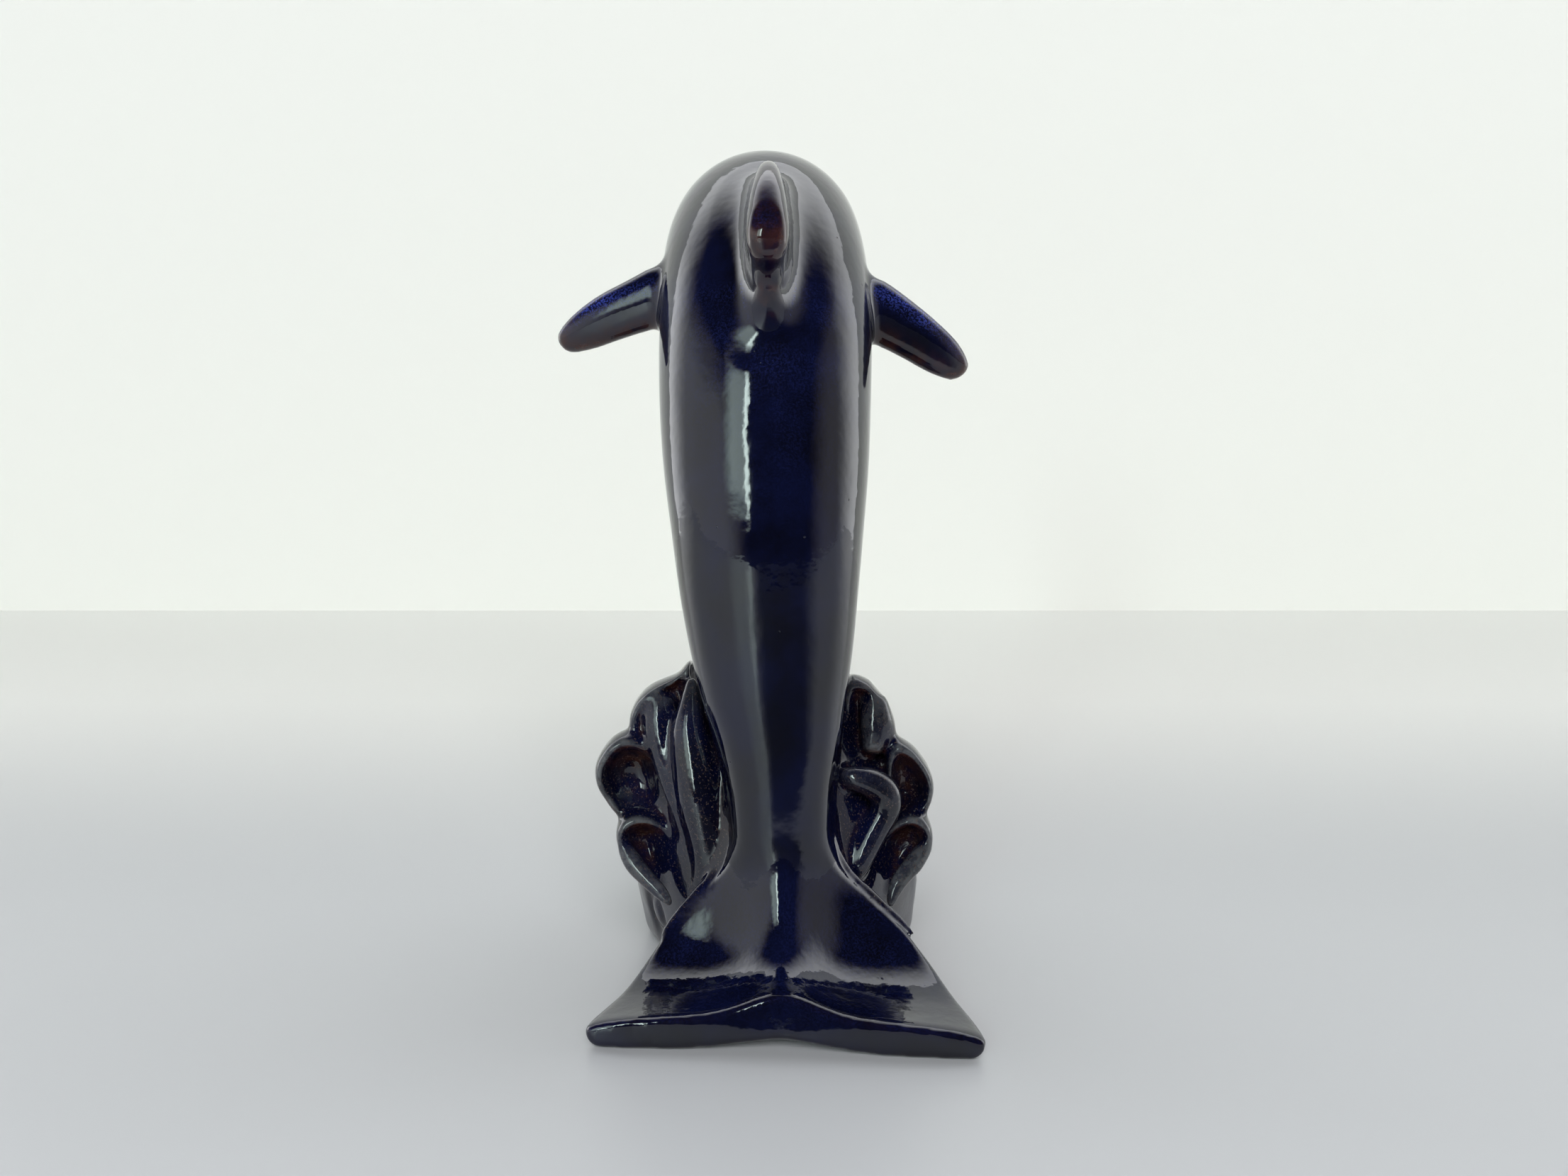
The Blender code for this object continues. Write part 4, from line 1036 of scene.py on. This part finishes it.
def glaze(slot, cobalt, thin_and_sheen, edge, pooled, peel):
    """Navy glaze: cobalt specks on what faces up, partly painted light from above, the edge colour on the
    ridges, thin glaze where it is rust and a painted reflection where it is slate grey, rust below, umber
    where it pools in hollows, and a skin as uneven as poured glaze."""
    g = Glaze(slot)
    color = g.mix(g.between(g.noise(14.0, 3.0, 0.6), 0.35, 0.68), DEEP, NAVY)

    # Specks in patches, kept to what faces up as painted light from above, and few on top of the back
    specks = g.between(g.noise(0.42, 3.0, 0.75), 0.44, 0.60)
    patches = g.between(g.noise(6.0, 2.0), 0.30, 0.60, 0.35, 1.0)
    # Painted light: the specks only go on what faces up, as if lit from above
    patches_on_lit_top = g.times(g.between(g.up, -0.05, 0.6), patches)
    patches_on_lit_top = g.times(patches_on_lit_top, g.between(g.below_back, 0.0, 1.0, 0.12, 1.0))
    color = g.mix(g.times(specks, patches_on_lit_top, cobalt), color, COBALT)

    # The edge colour on the ridges, where the relief is low: thin glaze where it is rust, a painted
    # reflection where it is slate grey. Rust colour on what faces down
    streaks = g.between(g.noise(2.6, 4.0, 0.7), 0.36, 0.64)
    worn_and_sheen = g.between(g.relief, -0.16, -0.62, 0.0, thin_and_sheen)
    worn_and_sheen = g.times(worn_and_sheen, g.between(streaks, 0.0, 1.0, 0.35, 1.0))
    color = g.mix(worn_and_sheen, color, edge)
    under = g.times(g.between(g.up, -0.05, -0.8, 0.0, thin_and_sheen * 0.8), streaks, g.below_back)
    color = g.mix(under, color, RUST)

    # Umber where glaze pools in the hollows, and grit all over
    if pooled > 0.0:
        hollow = g.times(g.between(g.relief, 0.10, 0.65, 0.0, pooled), streaks)
        color = g.mix(hollow, color, UMBER)
        grains = g.between(g.noise(0.5, 2.0, 0.7), 0.58, 0.66, 0.0, pooled * 0.6)
        color = g.mix(grains, color, GRIT)
    g.join(color, g.shader.inputs["Base Color"])

    # Gloss, duller where it is smeared, worn or pitted
    g.shader.inputs["IOR"].default_value = GLAZE_IOR
    smear = g.between(g.noise(9.0, 3.0), 0.35, 0.7, 0.035, 0.085)
    smear = g.math("ADD", smear, g.times(worn_and_sheen, 0.12))
    pits = g.between(g.cells(7.0), 0.035, 0.02)
    g.join(g.math("ADD", smear, g.times(pits, 0.3)), g.shader.inputs["Roughness"])

    # Swells, peel, fine grain and pits of the surface
    skin = g.bump(g.noise(6.0, 1.5), 0.085)
    skin = g.bump(g.noise(1.5, 1.0), 0.011 * peel, skin)
    skin = g.bump(g.noise(0.45, 1.0), 0.0016 * peel, skin)
    skin = g.bump(g.math("SUBTRACT", 1.0, pits), 0.05, skin)
    g.join(skin, g.shader.inputs["Normal"])
    return g.material


# For each slot: share of cobalt specks, share and colour of the ridges' edge colour (rust thin glaze on the
# figure, slate grey painted reflection on the wave and crests), share of umber, strength of the peel
LOOKS = {
    "body_glaze": (0.12, 0.10, RUST, 0.0, 1.3),
    "fluke_glaze": (0.06, 0.03, RUST, 0.0, 3.0),
    "fin_glaze": (0.9, 0.6, RUST, 0.0, 1.6),
    # The wave and crests take slate grey on their ridges: a painted reflection of the pale room
    "wave_glaze": (0.03, 0.3, RIM_REFLECTION_GREY, 0.9, 2.0),
    "crest_glaze": (0.03, 0.8, RIM_REFLECTION_GREY, 0.95, 2.0),
}
GLAZES = {slot: glaze(slot, *look) for slot, look in LOOKS.items()}
SLOTS = {"dolphin_body": "body_glaze", "tail_flukes": "fluke_glaze", "wave_base": "wave_glaze"}
SLOTS.update({name: "wave_glaze" for name in ROLLS})
SLOTS.update({name: "fin_glaze" for name in ("dorsal_fin", "left_flipper", "right_flipper")})
SLOTS.update({name: "crest_glaze" for name in CRESTS})

for index, name in enumerate(names):
    chosen = quads[owner == index]
    used, local = np.unique(chosen, return_inverse=True)
    mesh = bpy.data.meshes.new(name + "_skin")
    mesh.vertices.add(len(used))
    mesh.vertices.foreach_set("co", ((points[used] + np.array(SHIFT)) * MM).ravel())
    mesh.loops.add(chosen.size)
    mesh.loops.foreach_set("vertex_index", local.ravel().astype(np.int32))
    mesh.polygons.add(len(chosen))
    mesh.polygons.foreach_set("loop_start", np.arange(0, chosen.size, 4, dtype=np.int32))
    mesh.polygons.foreach_set("use_smooth", np.ones(len(chosen), dtype=bool))
    mesh.update(calc_edges=True)
    attribute = mesh.attributes.new("relief", "FLOAT", "POINT")
    attribute.data.foreach_set("value", relief[used].astype(np.float32))
    mesh.normals_split_custom_set_from_vertices(normals[used].tolist())
    piece = bpy.data.objects.new(name + "_skin", mesh)
    bpy.context.scene.collection.objects.link(piece)
    mesh.materials.append(GLAZES[SLOTS[name]])
    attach(piece, "root")
    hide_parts(name)

# Stage sizes in metres
TABLE_HALF = 3.0
BACKDROP_DISTANCE = 0.43
BACKDROP_LEFT = -0.62
BACKDROP_RIGHT = 0.72
BACKDROP_HEIGHT = 0.62
CARD_LEFT = -1.2
CARD_RIGHT = 2.9
CARD_NEAR = -2.9
CARD_FAR = -0.12
CARD_HEIGHT = 0.002
CARD_FADE = 0.04


def rectangle(left, right, low, high):
    """The four corners of a rectangle, as pairs."""
    return [(left, low), (right, low), (right, high), (left, high)]


def flat_sheet(name, corners, color, roughness):
    """A flat four-cornered stage sheet with a material of its own."""
    mesh = bpy.data.meshes.new(name)
    mesh.from_pydata(corners, [], [(0, 1, 2, 3)])
    obj = bpy.data.objects.new(name, mesh)
    bpy.context.scene.collection.objects.link(obj)
    material = bpy.data.materials.new(name)
    material.use_nodes = True
    shader = material.node_tree.nodes["Principled BSDF"]
    shader.inputs["Base Color"].default_value = (*color, 1.0)
    shader.inputs["Roughness"].default_value = roughness
    mesh.materials.append(material)
    return obj


# The table is pale grey and grows whiter toward the backdrop, as painted light that is brighter toward the
# back of the room
NEAR_GREY = (0.56, 0.575, 0.60)
FAR_WHITE = (0.97, 0.97, 0.955)
plan = rectangle(-TABLE_HALF, TABLE_HALF, -TABLE_HALF, BACKDROP_DISTANCE)
table = flat_sheet("table", [(x, y, 0.0) for x, y in plan], NEAR_GREY, 0.34)
nodes = Network(table.active_material.node_tree)
depth = nodes.split(nodes.node("ShaderNodeNewGeometry").outputs["Position"])[1]
# Painted light: the table's colour grows paler toward the backdrop
painted_light_falloff = nodes.fade(nodes.between(depth, 0.02, 0.26), NEAR_GREY, FAR_WHITE)
nodes.join(painted_light_falloff, nodes.tree.nodes["Principled BSDF"].inputs["Base Color"])
wall = rectangle(BACKDROP_LEFT, BACKDROP_RIGHT, 0.0, BACKDROP_HEIGHT)
flat_sheet("backdrop", [(x, BACKDROP_DISTANCE, z) for x, z in wall], (0.95, 0.95, 0.91), 0.8)

# A dark card with soft edges lies on the table in front of the picture, as painted shade: only reflections
# see it, and it paints shade into the near side of the glaze. Its side edges are angles from straight toward
# the camera
plan = rectangle(CARD_LEFT, CARD_RIGHT, CARD_NEAR, CARD_FAR)
painted_shade_card = flat_sheet("shade_card", [(x, y, CARD_HEIGHT) for x, y in plan], (0.03, 0.03, 0.035), 0.8)
nodes = Network(painted_shade_card.active_material.node_tree)
across, depth = nodes.split(nodes.node("ShaderNodeNewGeometry").outputs["Position"])[:2]
turn = nodes.math("ARCTAN2", across, nodes.times(depth, -1.0))
left_edge = nodes.between(turn, math.radians(-22.0), math.radians(-6.0))
right_edge = nodes.between(turn, math.radians(62.0), math.radians(38.0))
far_edge = nodes.between(depth, CARD_FAR, CARD_FAR - CARD_FADE)
mix = nodes.node("ShaderNodeMixShader")
nodes.join(nodes.times(left_edge, right_edge, far_edge), mix.inputs[0])
nodes.join(nodes.node("ShaderNodeBsdfTransparent").outputs[0], mix.inputs[1])
nodes.join(nodes.tree.nodes["Principled BSDF"].outputs[0], mix.inputs[2])
nodes.join(mix.outputs[0], nodes.tree.nodes["Material Output"].inputs["Surface"])
painted_shade_card.visible_camera = painted_shade_card.visible_shadow = painted_shade_card.visible_diffuse = False

# Fill lamp: a large soft box up over the camera and a little to its right, which reflections don't show. It
# faces a point at this aim's height over the table
FILL_TURN = math.radians(4.0)
FILL_RISE = math.radians(34.0)
FILL_DISTANCE = 2.6
FILL_AIM = 0.09
FILL_SIZE = (1.6, 1.2)
FILL_RADIANCE = 7.2
FILL_COLOR = (1.0, 0.97, 0.98)
lamp = bpy.data.lights.new("fill", "AREA")
lamp.shape = "RECTANGLE"
lamp.size, lamp.size_y = FILL_SIZE
lamp.energy = FILL_RADIANCE * math.pi * FILL_SIZE[0] * FILL_SIZE[1]
lamp.color = FILL_COLOR
fill = bpy.data.objects.new("fill", lamp)
level_reach = math.cos(FILL_RISE)
away = Vector((math.sin(FILL_TURN) * level_reach, -math.cos(FILL_TURN) * level_reach, math.sin(FILL_RISE)))
fill.location = Vector((0.0, 0.0, FILL_AIM)) + away * FILL_DISTANCE
fill.rotation_euler = away.to_track_quat("Z", "Y").to_euler()
fill.visible_camera = fill.visible_glossy = False
bpy.context.scene.collection.objects.link(fill)

# The room: bright behind and above the figurine, dim at the sides, dark toward the camera but for a window.
# x, y and z say which way a ray heads, and turn is its angle in radians from straight toward the camera
BEHIND_DARK = 0.02
BEHIND_GLOW = 2.3
LEFT_GLOW = 0.8
RIGHT_GLOW = 0.4
CURTAIN_GLOW = 2.6
PANE_GLOW = 11.0
DIM_TONE = (1.0, 0.88, 0.82)
BRIGHT_TONE = (0.97, 0.99, 1.0)
WINDOW_TONE = (0.82, 1.0, 0.95)
world = bpy.data.worlds.new("room")
bpy.context.scene.world = world
world.use_nodes = True
nodes = Network(world.node_tree)
x, y, z = nodes.split(nodes.node("ShaderNodeTexCoord").outputs["Generated"])
turn = nodes.math("ARCTAN2", x, nodes.times(y, -1.0))
behind = nodes.between(nodes.math("ADD", y, nodes.times(x, 0.10)), 0.0, 0.55, BEHIND_DARK, BEHIND_GLOW)
left = nodes.times(nodes.between(x, -0.35, -0.8, 0.0, LEFT_GLOW), nodes.between(z, 0.6, 0.3))
right = nodes.between(x, 0.72, 0.97, 0.0, RIGHT_GLOW)
room = nodes.math("ADD", behind, nodes.math("MAXIMUM", left, right))
tall = nodes.times(nodes.between(z, 0.08, 0.2), nodes.between(z, 0.62, 0.5))
curtain = nodes.times(nodes.between(turn, -0.86, -0.62), nodes.between(turn, -0.35, -0.39))
pane = nodes.times(nodes.between(turn, -0.43, -0.38), nodes.between(turn, -0.31, -0.345))
window = nodes.math("ADD", nodes.times(curtain, tall, CURTAIN_GLOW), nodes.times(pane, tall, PANE_GLOW))
tone = nodes.fade(room, DIM_TONE, BRIGHT_TONE, 0.6)
tone = nodes.mix(nodes.math("MINIMUM", window, 1.0), tone, WINDOW_TONE)
background = nodes.tree.nodes["Background"]
nodes.join(tone, background.inputs["Color"])
nodes.join(nodes.math("ADD", room, window), background.inputs["Strength"])

# Camera: as the photograph, whose focal length came out at 2000 of its 2212 pixels. Places are in mm, and the
# pitch is in degrees down
FOCAL_PIXELS = 2000.0
PHOTO_WIDTH = 2212.0
SENSOR_WIDTH = 36.0
CAMERA_BACK = 291.6
CAMERA_HEIGHT = 121.9
CAMERA_PITCH = 8.5
camera_data = bpy.data.cameras.new("view")
camera_data.lens = FOCAL_PIXELS * SENSOR_WIDTH / PHOTO_WIDTH
camera_data.sensor_width = SENSOR_WIDTH
camera_data.clip_start = 0.01
camera = bpy.data.objects.new("view", camera_data)
camera.location = (SHIFT.x * MM, (SHIFT.y - CAMERA_BACK) * MM, CAMERA_HEIGHT * MM)
camera.rotation_euler = (math.radians(90.0 - CAMERA_PITCH), 0.0, 0.0)
bpy.context.scene.collection.objects.link(camera)
bpy.context.scene.camera = camera
bpy.context.scene.view_settings.view_transform = "Standard"
